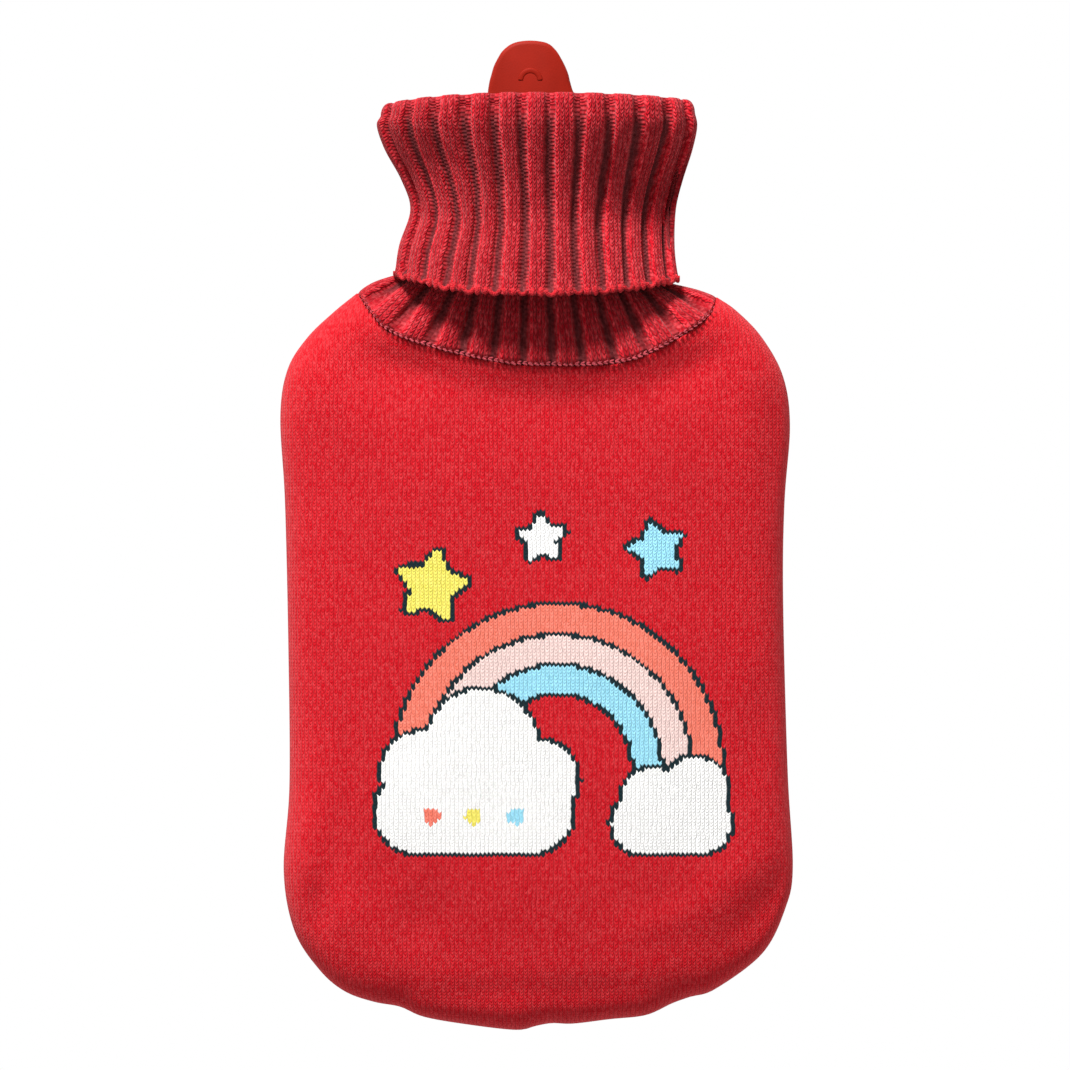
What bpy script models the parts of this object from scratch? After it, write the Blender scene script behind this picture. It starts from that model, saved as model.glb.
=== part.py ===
"""Knitted hot water bottle cover with a ribbed roll collar, and the bottle neck that shows above it.

The cover lies on its back: the back panel rests on the plane Z = 0, the front panel faces +Z and the collar
points to +Y. X and Y are centred on the whole object. Sizes are in millimetres here, and a mesh is turned to
metres when it is made. Every cloth piece is a closed sheet with its real thickness.
"""

from math import cos, pi, radians, sin, sqrt

import bmesh
import bpy
import numpy as np
from mathutils import Matrix, Vector

MM = 0.001

# Driving sizes of the body
CLOTH = 2.4  # thickness of the plain knit
SEAM_Z = 18.0  # height of the side seam above the surface
FRONT_RISE = 16.0  # from the side seam up to the front, without its crown
FRONT_EDGE = 24.0  # width of the front's rounded edge
BACK_EDGE = 20.0  # width of the back's rounded edge
CROWN = 5.0  # extra height in the middle of the front
CROWN_RISE = 60.0  # how far inside the outline the crown is at its full height
CROWN_TO_COLLAR = (105.0, 15.0, 0.15)  # y where the crown is lowest, y where it is full, its share at the lowest
CROWN_TO_BOTTOM = (-190.0, -80.0, 0.55)  # the same towards the bottom edge
CREASE_START = 6.0  # how far inside the outline the creases have their full depth
BACK_LIFT = 2.5  # how far the back rises off the surface at the neckline
LIFT_START, LIFT_END = 52.0, 88.0  # the y between which it rises
GAP = 0.3  # between pieces that touch

# Driving sizes of the collar
RIBS = 26
POINTS_PER_RIB = 4  # a valley, and three points over the rib
RIB_CLOTH = 3.2  # thickness of the ribbed knit at a rib
ROOT_CLOTH = 2.8  # how far the collar's inner face lies under the body's outer face at the neckline
RIB_DEPTH = 1.9  # from the top of a rib down to its valley
RIB_FORM = (1.0, 0.12, 0.0, 0.12)  # the valley, then the three points over a rib, as shares of that depth
LAYER_GAP = 1.0  # between the folded-down cuff and the layer under it
FOLD_HEIGHT = 5.5  # from the last section up to the top of the fold
FOLD_HOLLOW = 0.22  # how far up the fold the gap between its layers reaches, as a share of the fold's height
FOLD_RELIEF = 0.7  # depth of the valleys over the fold, as a share of their depth elsewhere
ROOT_PUFF = 0.6  # how far the ribs stand over the body beside the neckline
ROOT_SWELL = 0.5  # how much more they stand up halfway to the throat
ROOT_RELIEF = 0.55  # depth of the valleys at the neckline, as a share of their depth elsewhere
ROOT_RISE = 0.55  # how early the root rises towards the throat: 0 is evenly
CUFF_SCALLOP = 0.8  # how far each rib hangs below its valleys at the hem

# Driving sizes of the bottle neck
RUBBER = 3.2
TAB_X = -2.4
TAB_Y = 175.1  # centre of the tab's round top
TAB_RADIUS = 14.8
TAB_FLAT = 19.0  # half width of the rim's flat back, which carries the tab
TAB_STEPS = 13  # mesh points over the tab
NECK_STEPS = 21  # mesh points round the rest of the neck
RIM_Y = 165.0
RING_RADIUS = 4.4  # moulded half ring on the tab
RING_WIRE = 0.9

# Outline of the body as it lies, from the left end of the neckline round the bottom to its right end.
# Columns: x, y
OUTLINE = (
    (-69.0, 92.8),
    (-78.0, 85.5),
    (-88.2, 75.6),
    (-95.7, 63.3),
    (-98.4, 45.0),
    (-96.6, 12.0),
    (-95.3, -44.0),
    (-94.9, -96.0),
    (-97.1, -129.0),
    (-92.6, -151.0),
    (-82.5, -167.0),
    (-67.6, -178.2),
    (-41.0, -186.0),
    (-8.0, -189.9),
    (2.0, -187.2),
    (12.0, -187.5),
    (30.0, -185.6),
    (49.0, -182.2),
    (68.6, -174.6),
    (86.8, -160.4),
    (95.6, -143.0),
    (98.4, -127.0),
    (96.4, -90.0),
    (94.7, -25.0),
    (95.2, 12.0),
    (97.3, 42.0),
    (94.6, 61.0),
    (86.4, 76.0),
    (76.6, 86.2),
    (69.2, 91.3),
)
BOTTOM_ROW = 13  # the row of OUTLINE at the lowest point

# Necklines, from the left end to the right. Columns: x, y
FRONT_NECKLINE = (
    (-69.0, 92.8),
    (-63.6, 85.0),
    (-56.0, 77.4),
    (-37.0, 70.8),
    (-14.0, 65.8),
    (0.0, 64.8),
    (20.0, 64.7),
    (38.0, 67.2),
    (56.0, 76.2),
    (66.4, 84.0),
    (69.2, 91.3),
)
BACK_NECKLINE = (
    (-69.0, 92.8),
    (-58.0, 90.6),
    (-30.0, 89.0),
    (0.0, 88.5),
    (30.0, 88.8),
    (58.0, 90.0),
    (69.2, 91.3),
)

# Creases of the front: a trough where the depth is above 0, a ridge where it is below.
# Columns: x and y of one end, x and y of the other, half width, depth
CREASES = (
    (-84.5, -134.0, -81.5, -151.0, 5.5, 1.6),
    (-78.0, -138.0, -73.0, -153.0, 6.0, -0.8),
    (87.5, -131.0, 71.5, -151.0, 6.0, 2.4),
    (93.0, -140.0, 80.0, -158.0, 4.5, -1.4),
    (62.0, -144.0, 36.0, -152.0, 7.0, -0.9),
    (-50.0, -176.0, 52.0, -174.0, 5.5, 1.1),
    (88.0, -60.0, 80.0, -98.0, 8.0, 1.0),
    (-62.0, 70.0, -40.0, 60.0, 7.0, 0.9),
    (52.0, 60.0, 70.0, 70.0, 7.0, 0.9),
)

# How far inside the outline each line of the panel's mesh runs, then the lines on to the middle
EDGE_LINES = {
    "front": (0.0, 0.7, 2.2, 4.8, 8.5, 13.0, 18.5, 25.0),
    "back": (0.0, 0.9, 3.2, 7.5, 13.0, 20.0),
}
MIDDLE_LINES = {"front": 4, "back": 2}
CURVE_STEPS = 12  # points that a smooth line has from one row of a table to the next
NECK_BEND = 0.3  # how far down the mesh lines still bend with the neckline, as a share of the side
SIDE_STEPS = 30  # mesh steps along the outline from a neckline end to the bottom
SPINE_BOTTOM = -128.0

# Sections of the collar's outer face. The first columns are where the section crosses the left side, the right,
# the front and the back, then come its left and right ends and its height.
# Columns: y_left, y_right, y_front, y_back, x_left, x_right, z_front
CUFF = (
    (100.4, 97.6, 91.3, 101.0, -55.6, 54.8, 50.5),  # hem
    (111.0, 110.0, 104.0, 111.0, -52.0, 53.2, 49.2),
    (124.7, 124.7, 119.0, 124.0, -48.9, 53.9, 48.5),  # waist
    (136.0, 136.0, 133.0, 136.0, -52.4, 56.6, 50.3),
    (147.5, 147.5, 146.5, 147.0, -58.6, 60.2, 53.2),
    (156.5, 156.5, 158.0, 158.0, -61.6, 62.0, 55.0),  # widest
    (161.0, 161.0, 164.5, 164.5, -60.1, 61.1, 55.0),  # where the fold starts
)
HIDDEN_ROWS = (-1, 4, 3, 2)  # the rows that the faces inside the fold and inside the collar follow, going down
# Section of the layer under the cuff, just inside its hem, by the same columns
THROAT = (101.2, 97.0, 97.0, 100.0, -49.8, 49.8, 44.5)
THROAT_BACK = RIB_CLOTH + LAYER_GAP
SECTION_TURN = 180  # steps over a quarter of a section, from which its even points are taken
SECTION_POWER = 2.6  # roundness of a section: 2 is an ellipse, more is squarer
BACK_FLATTEN = 1.8  # how much of a section's back is pressed flat
ROOT_STEPS = (0.28, 0.56, 0.8)  # lines between the neckline and the throat
ROOT_CROWDING = 0.18  # how much closer the ribs stand in the middle of the neckline

# Sections of the bottle neck. Columns: y, half_width, z_front
NECK = (
    (104.0, 21.0, 33.0),
    (126.0, 21.0, 33.0),
    (146.0, 25.0, 35.5),
    (RIM_Y, 30.5, 40.0),
)

COLOURS = {
    # Base colour in linear values, roughness
    "front_panel": ((0.68, 0.024, 0.030), 0.85),
    "back_panel": ((0.62, 0.022, 0.028), 0.85),
    "neck_rib": ((0.50, 0.020, 0.028), 0.85),
    "bottle_mouth": ((0.45, 0.026, 0.016), 0.55),
}


def clear_scene():
    for obj in list(bpy.data.objects):
        bpy.data.objects.remove(obj)


def material(name):
    colour, roughness = COLOURS[name]
    made = bpy.data.materials.new(name)
    made.use_nodes = True
    shader = made.node_tree.nodes["Principled BSDF"]
    shader.inputs["Base Color"].default_value = (*colour, 1.0)
    shader.inputs["Roughness"].default_value = roughness
    shader.inputs["Metallic"].default_value = 0.0
    return made


def turn_faces_out(bm):
    """Points every face of a closed mesh outward. On a thin sheet the recalculation alone can turn all of them in."""
    bmesh.ops.recalc_face_normals(bm, faces=bm.faces)
    if bm.calc_volume(signed=True) < 0:
        bmesh.ops.reverse_faces(bm, faces=bm.faces)


def add_object(name, bm):
    """Turns a bmesh in millimetres into a named object in metres."""
    bmesh.ops.remove_doubles(bm, verts=bm.verts, dist=1e-4)
    bmesh.ops.scale(bm, vec=(MM, MM, MM), verts=bm.verts)
    turn_faces_out(bm)
    mesh = bpy.data.meshes.new(name)
    bm.to_mesh(mesh)
    bm.free()
    mesh.shade_smooth()
    mesh.materials.append(material(name))
    obj = bpy.data.objects.new(name, mesh)
    bpy.context.scene.collection.objects.link(obj)
    return obj


def smooth_line(rows, steps=CURVE_STEPS):
    """Points along a smooth curve through every row, with an even number of steps between rows."""
    rows = np.array(rows, float)
    before = 2 * rows[:1] - rows[1:2]
    after = 2 * rows[-1:] - rows[-2:-1]
    knots = np.concatenate([before, rows, after])
    points = []
    for a, b, c, d in zip(knots, knots[1:], knots[2:], knots[3:]):
        for t in np.arange(steps) / steps:
            points.append(
                0.5 * (2 * b + (c - a) * t + (2 * a - 5 * b + 4 * c - d) * t**2 + (3 * b - a - 3 * c + d) * t**3)
            )
    points.append(rows[-1])
    return np.array(points)


def at_fractions(line, fractions):
    """Points of a line at these fractions of its length."""
    lengths = np.concatenate([[0.0], np.cumsum(np.linalg.norm(np.diff(line, axis=0), axis=1))])
    where = np.asarray(fractions) * lengths[-1]
    return np.stack([np.interp(where, lengths, line[:, k]) for k in range(line.shape[1])], axis=1)


def length_of(line):
    return float(np.linalg.norm(np.diff(line, axis=0), axis=1).sum())


def ease(t):
    t = min(max(t, 0.0), 1.0)
    return t * t * (3 - 2 * t)


OUTLINE_LINE = smooth_line(OUTLINE)
SHOULDER = 40.0  # the outline runs straight on by this much past each end, when the edge is measured
EDGE_LINE = np.concatenate(
    [
        [OUTLINE_LINE[0] + SHOULDER * (OUTLINE_LINE[0] - OUTLINE_LINE[3]) / length_of(OUTLINE_LINE[:4])],
        OUTLINE_LINE,
        [OUTLINE_LINE[-1] + SHOULDER * (OUTLINE_LINE[-1] - OUTLINE_LINE[-4]) / length_of(OUTLINE_LINE[-4:])],
    ]
)
NECKLINES = {"front": smooth_line(FRONT_NECKLINE), "back": smooth_line(BACK_NECKLINE)}


def nearest_edge(x, y):
    """Distance from a place to the body's outline, and the direction from it to that outline."""
    start = EDGE_LINE[:-1]
    along = np.diff(EDGE_LINE, axis=0)
    offset = np.array([x, y]) - start
    t = np.clip((offset * along).sum(axis=1) / (along**2).sum(axis=1), 0.0, 1.0)
    to_edge = start + along * t[:, None] - np.array([x, y])
    distances = np.linalg.norm(to_edge, axis=1)
    nearest = int(distances.argmin())
    distance = float(distances[nearest])
    if distance > 1e-6:
        return distance, to_edge[nearest] / distance
    outward = np.array([along[nearest][1], -along[nearest][0]])
    return 0.0, outward / np.linalg.norm(outward)


def crease_depth(x, y):
    """How far the creases lower the front here. Each is a soft trough or ridge that fades at its ends."""
    depth = 0.0
    for x1, y1, x2, y2, half_width, most in CREASES:
        along = np.array([x2 - x1, y2 - y1])
        offset = np.array([x - x1, y - y1])
        t = float(np.clip(offset @ along / (along @ along), 0.0, 1.0))
        away = np.linalg.norm(offset - t * along) / half_width
        fade = 1 - 0.5 * abs(2 * t - 1) ** 3
        depth += most * fade * float(np.exp(-(away**2)))
    return depth


def crown_share(y, lowest, full, least):
    return least + (1 - least) * ease((y - lowest) / (full - lowest))


def body_surface(side, x, y):
    """The body's outer face over (x, y): the point, and the direction out of the cloth there."""
    distance, to_edge = nearest_edge(x, y)
    edge, rise, up = (FRONT_EDGE, FRONT_RISE, 1) if side == "front" else (BACK_EDGE, SEAM_Z - GAP / 2, -1)
    across = max(1 - distance / edge, 0.0)
    height = sqrt(1 - across**2)
    z = SEAM_Z + up * (GAP / 2 + rise * height)
    if side == "front":
        z += CROWN * ease(distance / CROWN_RISE) * crown_share(y, *CROWN_TO_COLLAR) * crown_share(y, *CROWN_TO_BOTTOM)
        z -= crease_depth(x, y) * ease(distance / CREASE_START)
    else:
        lift = ease((y - LIFT_START) / (LIFT_END - LIFT_START)) * ease(distance / BACK_EDGE)
        z = max(z, 0.0) + BACK_LIFT * lift
    flat = across / edge
    normal = Vector((to_edge[0] * flat, to_edge[1] * flat, up * height / rise)).normalized()
    return Vector((x, y, z)), normal


def panel_places(side):
    """Where each point of a panel's mesh lies over the surface: rows from one end of the neckline, round the
    bottom, to the other end, and in each row from the outline to the middle."""
    outline = at_fractions_of_halves(OUTLINE_LINE, SIDE_STEPS)
    neckline = NECKLINES[side]
    middle = len(neckline) // 2
    top = neckline[middle]
    rows = []
    for row, start in enumerate(outline):
        down = 1 - abs(row / SIDE_STEPS - 1)  # 0 at both ends of the neckline, 1 at the bottom
        spine = np.array([top[0] * (1 - down), top[1] + (SPINE_BOTTOM - top[1]) * down])
        half = neckline[: middle + 1] if row <= SIDE_STEPS else neckline[middle:][::-1]
        reach = float(np.linalg.norm(spine - start))
        bend = 1 - ease(down / NECK_BEND)
        along = np.array(line_distances(side, reach)) / reach
        straight = half[0] + (half[-1] - half[0]) * along[:, None]
        curved = at_fractions(half, np.array(line_distances(side, length_of(half))) / length_of(half))
        rows.append(start + (spine - start) * along[:, None] + bend * (curved - straight))
    return rows


def panel(name, side):
    """A body panel: its outer face, its inner face, and the rims along the outline and the neckline."""
    bm = bmesh.new()
    faces = []
    for depth in (0.0, CLOTH):
        rows = []
        for places in panel_places(side):
            surface = [body_surface(side, *place) for place in places]
            rows.append([bm.verts.new(point - normal * depth) for point, normal in surface])
        faces.append(rows)
        for a, b in zip(rows, rows[1:]):
            bridge(bm, a, b)
    bridge(bm, *[[row[0] for row in rows] for rows in faces])
    bridge(bm, *[rows[0] + rows[-1][-2::-1] for rows in faces])
    return add_object(name, bm)


def bridge(bm, a, b, closed=False):
    """Fills quads between two lines of points."""
    for k in range(len(a) if closed else len(a) - 1):
        after = (k + 1) % len(a)
        bm.faces.new((a[k], a[after], b[after], b[k]))


def at_fractions_of_halves(line, steps):
    """Evenly spaced points down the left half of the outline and up its right half."""
    bottom = BOTTOM_ROW * CURVE_STEPS
    left = at_fractions(line[: bottom + 1], np.arange(steps + 1) / steps)
    right = at_fractions(line[bottom:], np.arange(1, steps + 1) / steps)
    return np.concatenate([left, right])


def line_distances(side, reach):
    """How far inside the outline each mesh line runs, where the middle is this far from the outline."""
    edge = EDGE_LINES[side]
    steps = MIDDLE_LINES[side] + 1
    return list(edge) + [edge[-1] + (reach - edge[-1]) * (k + 1) / steps for k in range(steps)]


def neck_edge(side):
    """A panel's edge along its neckline, from left to right: (point, direction out of the cloth)."""
    rows = panel_places(side)
    places = np.concatenate([rows[0], rows[-1][-2::-1]])
    return [body_surface(side, *place) for place in places]


def section(y_left, y_right, y_front, y_back, x_left, x_right, z_front, z_back):
    """A closed section of the collar as (point, outward) pairs, from its left side over the front, right and back.
    The points are even over each quarter, so the middle ribs run straight from section to section."""
    middle = (z_front + z_back) / 2
    rise = (z_front - z_back) / 2
    turn = np.linspace(pi, -pi, 4 * SECTION_TURN + 1)
    c, s = np.cos(turn), np.sin(turn)
    x = np.where(c < 0, x_left, x_right) * np.abs(c) ** (2 / SECTION_POWER)
    z = np.sign(s) * np.abs(s) ** (2 / SECTION_POWER)
    z = np.where(z < 0, np.maximum(z * (rise + BACK_FLATTEN), -rise), z * rise)
    loop = np.stack([x, z], axis=1)
    quarter = RIBS * POINTS_PER_RIB // 4
    steps = np.arange(quarter) / quarter
    quarters = [loop[k * SECTION_TURN : (k + 1) * SECTION_TURN + 1] for k in range(4)]
    even = np.concatenate([at_fractions(line, steps) for line in quarters])
    forward = np.roll(even, -1, axis=0) - np.roll(even, 1, axis=0)
    outward = np.stack([-forward[:, 1], forward[:, 0]], axis=1)
    outward /= np.linalg.norm(outward, axis=1)[:, None]
    made = []
    for (px, pz), (nx, nz) in zip(even, outward):
        x_end, y_end = (x_left, y_left) if px < 0 else (x_right, y_right)
        to_middle = 1 - min(px / x_end, 1.0) ** 3
        y = y_end + ((y_front if pz > 0 else y_back) - y_end) * to_middle
        made.append((Vector((px, y, middle + pz)), Vector((nx, 0.0, nz))))
    return made


def rib_valley(k):
    """How far the cloth's outer face lies below the top of a rib, at point k round the collar."""
    return RIB_DEPTH * RIB_FORM[k % POINTS_PER_RIB]


def neckline_root():
    """The collar's root, round the neckline: (point on the body's outer face, direction out of the cloth,
    direction away from the panel). It lies along the straight edges of the panels' own meshes."""
    half = RIBS * POINTS_PER_RIB // 2
    steps = np.arange(half + 1) / half
    crowded = steps + ROOT_CROWDING * np.sin(2 * pi * steps) / (2 * pi)
    sides = []
    for side in ("front", "back"):
        edge = neck_edge(side)
        table = np.array([(*point, *normal) for point, normal in edge])
        lengths = np.concatenate([[0.0], np.cumsum(np.linalg.norm(np.diff(table[:, :3], axis=0), axis=1))])
        where = crowded * lengths[-1]
        place = np.stack([np.interp(where, lengths, table[:, k]) for k in range(6)], axis=1)
        row = np.clip(np.searchsorted(lengths, where, "right") - 1, 0, len(edge) - 2)
        along = table[row + 1, :3] - table[row, :3]
        made = []
        for values, tangent in zip(place, along):
            normal = Vector(values[3:]).normalized()
            away = Vector(tangent).cross(normal)
            made.append((Vector(values[:3]), normal, away.normalized() * (1 if away.y > 0 else -1)))
        sides.append(made)
    front, back = sides
    root = front + back[-2:0:-1]
    for k in (0, half):
        root[k][0].z = SEAM_Z
        root[k][1].z = 0.0
        root[k][1].normalize()
    return root


def collar_rings():
    """The rings of the collar's closed sheet: up the layer next to the neck, over the fold and down the cuff."""
    cuff = [section(*row, 0.0) for row in CUFF]
    throat = section(*THROAT, THROAT_BACK)
    root = neckline_root()
    under = RIB_CLOTH + LAYER_GAP
    inside = under + RIB_CLOTH

    def ring(pairs, inset, ribbed=False):
        return [p - n * (inset + (rib_valley(k) if ribbed else 0.0)) for k, (p, n) in enumerate(pairs)]

    def root_ring(step, outer):
        points = []
        for k, ((p0, n0, away), (p1, n1)) in enumerate(zip(root, throat)):
            start = p0 + away * GAP
            place = start.lerp(p1, step)
            place.z = start.z + (p1.z - start.z) * step * (1 + ROOT_RISE * (1 - step))
            stands = -ROOT_CLOTH
            if outer:
                relief = ROOT_RELIEF + (1 - ROOT_RELIEF) * ease(step / ROOT_STEPS[0])
                stands = ROOT_PUFF + 4 * ROOT_SWELL * step * (1 - step) - rib_valley(k) * relief
            points.append(place + n0.lerp(n1, step).normalized() * stands)
        return points

    def fold_ring(angle):
        points = []
        for k, (p, n) in enumerate(cuff[-1]):
            valley = rib_valley(k) * FOLD_RELIEF
            up = Vector((0.0, (FOLD_HEIGHT - valley) * sin(angle), 0.0))
            points.append(p - n * inside / 2 + n * (inside / 2 - valley) * cos(angle) + up)
        return points

    rings = [root_ring(step, True) for step in (0.0, *ROOT_STEPS)]
    rings.append(ring(throat, 0.0, True))
    rings += [ring(cuff[row], under, True) for row in HIDDEN_ROWS[::-1]]
    rings.append([p - n * inside / 2 + Vector((0.0, FOLD_HEIGHT * FOLD_HOLLOW, 0.0)) for p, n in cuff[-1]])
    rings += [ring(cuff[row], RIB_CLOTH) for row in (*HIDDEN_ROWS, 0)]
    hem = ring(cuff[0], 0.0, True)
    for k, point in enumerate(hem):
        point.y += CUFF_SCALLOP * rib_valley(k) / RIB_DEPTH
    rings.append(hem)
    rings += [ring(pairs, 0.0, True) for pairs in cuff[1:]]
    rings += [fold_ring(radians(angle)) for angle in (45, 90, 135)]
    rings += [ring(cuff[row], inside) for row in HIDDEN_ROWS]
    rings.append(ring(throat, RIB_CLOTH))
    rings += [root_ring(step, False) for step in (ROOT_STEPS[1], 0.0)]
    return rings


def neck_rib():
    """The roll collar, as one closed ring-shaped sheet."""
    bm = bmesh.new()
    loops = [[bm.verts.new(point) for point in ring] for ring in collar_rings()]
    for a, b in zip(loops, loops[1:] + loops[:1]):
        bridge(bm, a, b, closed=True)
    return add_object("neck_rib", bm)


def neck_section(half_width, z_front, z_back):
    """A section of the bottle neck: an oval pressed flat at the back, then the points of the flat, left to right."""
    flat = min(TAB_FLAT, 0.8 * half_width)
    middle = (z_front + z_back) / 2
    rise = (z_front - z_back) / 2
    start = -np.arccos(flat / half_width)
    turns = [(cos(a), sin(a)) for a in np.linspace(start, pi - start, NECK_STEPS)]
    points = [(half_width * c, middle + rise * (s if s > 0 else s / -sin(start))) for c, s in turns]
    narrow = flat / TAB_FLAT
    across = [cos(a) for a in np.linspace(pi, 0.0, TAB_STEPS)]
    return points + [(narrow * (TAB_X + TAB_RADIUS * c), z_back) for c in across]


def bottle_mouth():
    """The rubber neck: an open flared tube whose back wall runs up into the hanging tab."""
    seat = 2 * RIB_CLOTH + LAYER_GAP + GAP
    loops = []
    bm = bmesh.new()
    for wall in (0.0, RUBBER):
        for y, half_width, z_front in NECK if wall == 0.0 else NECK[::-1]:
            points = []
            for k, (x, z) in enumerate(neck_section(half_width - wall, z_front - wall, seat + wall)):
                turn = pi * (k - NECK_STEPS) / (TAB_STEPS - 1)
                on_tab = y == RIM_Y and k >= NECK_STEPS
                points.append(bm.verts.new((x, TAB_Y + TAB_RADIUS * sin(turn) if on_tab else y, z)))
            loops.append(points)
    for a, b in zip(loops, loops[1:] + loops[:1]):
        bridge(bm, a, b, closed=True)
    made = add_object("bottle_mouth", bm)
    ring = tab_ring(seat + RUBBER)
    joined = made.modifiers.new("moulded ring", "BOOLEAN")
    joined.operation = "UNION"
    joined.object = ring
    return made


def tab_ring(face_z):
    """The moulded half ring on the tab's front, a helper that the neck is joined to."""
    bm = bmesh.new()
    made = bmesh.ops.create_circle(bm, cap_ends=True, segments=8, radius=RING_WIRE)
    bmesh.ops.rotate(bm, verts=made["verts"], cent=(0, 0, 0), matrix=Matrix.Rotation(pi / 2, 3, "X"))
    bmesh.ops.translate(bm, verts=made["verts"], vec=(RING_RADIUS, 0.0, 0.0))
    whole = bm.verts[:] + bm.edges[:] + bm.faces[:]
    bmesh.ops.spin(bm, geom=whole, cent=(0, 0, 0), axis=(0, 0, 1), angle=radians(180), steps=14)
    bmesh.ops.translate(bm, verts=bm.verts, vec=(TAB_X, TAB_Y, face_z))
    bmesh.ops.scale(bm, vec=(MM, MM, MM), verts=bm.verts)
    turn_faces_out(bm)
    mesh = bpy.data.meshes.new("moulded_ring")
    bm.to_mesh(mesh)
    bm.free()
    obj = bpy.data.objects.new("moulded_ring", mesh)
    obj.hide_render = True
    obj.display_type = "WIRE"
    bpy.context.scene.collection.objects.link(obj)
    return obj


def main():
    clear_scene()
    panel("front_panel", "front")
    panel("back_panel", "back")
    neck_rib()
    bottle_mouth()


main()
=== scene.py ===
"""The looks of a knitted hot water bottle cover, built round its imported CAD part.

The cover lies on its back: +Y points to the collar and +Z out of the front. Sizes and places are in
millimetres, and a mesh is turned to metres when it is made.
"""

from collections import namedtuple
from math import atan2, cos, hypot, pi, radians, sin, sqrt, tau

import bmesh
import bpy
import numpy as np
from mathutils import Matrix, Vector


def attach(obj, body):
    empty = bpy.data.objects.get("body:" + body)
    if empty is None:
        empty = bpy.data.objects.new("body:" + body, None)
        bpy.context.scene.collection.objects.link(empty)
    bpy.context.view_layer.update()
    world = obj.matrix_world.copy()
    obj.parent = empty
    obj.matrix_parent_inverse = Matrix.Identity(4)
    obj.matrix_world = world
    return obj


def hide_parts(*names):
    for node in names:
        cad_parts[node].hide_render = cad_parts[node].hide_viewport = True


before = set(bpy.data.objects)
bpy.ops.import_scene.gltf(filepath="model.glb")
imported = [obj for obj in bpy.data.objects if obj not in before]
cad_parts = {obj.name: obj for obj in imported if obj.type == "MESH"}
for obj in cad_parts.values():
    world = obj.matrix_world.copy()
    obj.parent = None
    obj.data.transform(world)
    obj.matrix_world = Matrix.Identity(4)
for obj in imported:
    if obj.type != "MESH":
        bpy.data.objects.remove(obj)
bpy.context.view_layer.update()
MM = 0.001

# The knit
WALE = 1.65  # width of one stitch of the body
COURSE = 1.3  # height of one stitch of the body
RIB_COURSE = 1.45  # height of one stitch of the collar
RIB_WALES = 6  # stitches from one rib to the next
KNIT_WALES = 4  # how many of them are knit ones, on the rib; the rest are purl ones, in the valley
UNEVEN_STITCHES = 0.7  # how far stitches lie out of line, in stitches
UNEVEN_WAVES = 0.4  # how often that changes, in waves to a stitch
V_SLANT = 0.75  # how far a stitch's legs climb from its middle to its sides, in rows

# Body, by the same sizes as the solids
CLOTH = 2.4  # thickness
GAP = 0.3  # between one piece and the next
SEAM_Z = 18.0  # height of the side seam
FRONT_RISE = 16.0  # how far the front's rounded edge rises above the seam
FRONT_EDGE = 24.0  # how far in from the outline it reaches
BACK_EDGE = 20.0  # how far in the back's rounded edge reaches
CROWN = 5.0  # how much higher the front is in its middle
CROWN_RISE = 60.0  # how far in from the outline it has that height
# Where the crown is lower. Columns: y where it is lowest, y where it is full, its share at the lowest
CROWN_TO_COLLAR = (105.0, 15.0, 0.15)
CROWN_TO_BOTTOM = (-190.0, -80.0, 0.55)
CREASE_START = 6.0  # how far in from the outline a crease has its full depth
CREASE_FADE = 0.5  # how much shallower a crease is at its two ends
BACK_LIFT = 2.5  # how far the back rises off the surface towards the collar
LIFT_START, LIFT_END = 52.0, 88.0  # between which places along Y it does so

# Body, finer than the solids
EDGE_POWERS = {"front": 3.0, "back": 2.0}  # how full the rounded edge is: 2 is an ellipse
NECK_LIFT = 3.2  # how far the collar lifts the front at its seam
NECK_LIFT_REACH = 8.0  # how far from the seam that is felt
LIFT_FULL = 30.0  # how far inside the outline that lift is complete
PINCH = 0.8  # how far the cloth is drawn in at the side seam
PINCH_HEIGHT = 1.3  # how far from the seam that is felt

# Collar, by the same sizes as the solids
RIBS = 26  # round the whole collar
RIB_CLOTH = 3.2  # thickness, with the ribs
ROOT_CLOTH = 2.8  # thickness at the neckline
LAYER_GAP = 1.0  # between the cuff and the layer under it
COLLAR_WALL = 2 * RIB_CLOTH + LAYER_GAP  # from the cuff's outer face to the inside of the collar
FOLD_HEIGHT = 5.5  # how far the fold rises above the last section of the cuff
FOLD_HOLLOW = 0.22  # how far the gap between the layers reaches up into it, as a share
ROOT_SWELL = 0.5  # how far the root swells, halfway to the throat
ROOT_CROWDING = 0.18  # how much closer together the ribs stand in the middle of the neckline
THROAT_BACK = RIB_CLOTH + LAYER_GAP  # height of the throat's underside
SECTION_TURN = 180  # points in a quarter of a section, before they are spaced evenly
SECTION_BOW = 2.5  # how far to its sides a section stays as high up the collar as in its middle
BACK_FLATTEN = 1.8  # how much of a section's underside is pressed flat

# Collar, finer than the solids
STEPS_PER_RIB = 20  # mesh steps from one rib to the next
RIB_DEPTH = 3.0  # from the top of a rib down to the floor of a valley
RIB_SHOULDER = 0.78  # where a rib's rounded top begins, as a share of its height
VALLEY_FLOOR = 0.12  # half width of a valley's floor, as a share of the rib pitch
VALLEY_TOP = 0.26  # half width of a valley at a rib's shoulder
WALE_RELIEF = 0.2  # how far the lines between a rib's stitches lie below them
VALLEY_UNEVEN = 0.16  # how much the valleys differ in width and depth
ROOT_PUFF = (3.0, 1.7)  # how high the root's rounded edge stands on the body, at the front and the back
ROOT_EDGE = 0.1  # where that edge is at its full height, as a share of the way to the throat
ROOT_SIDES = 1 / 8  # over how much of the neckline's front and back, at either side, that edge sinks away
ROOT_SIDE_SWELL = (1.7, 0.5)  # how much more the root swells at its left and right side
ROOT_RISE = 0.2  # how much steeper it starts than it goes on
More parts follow.
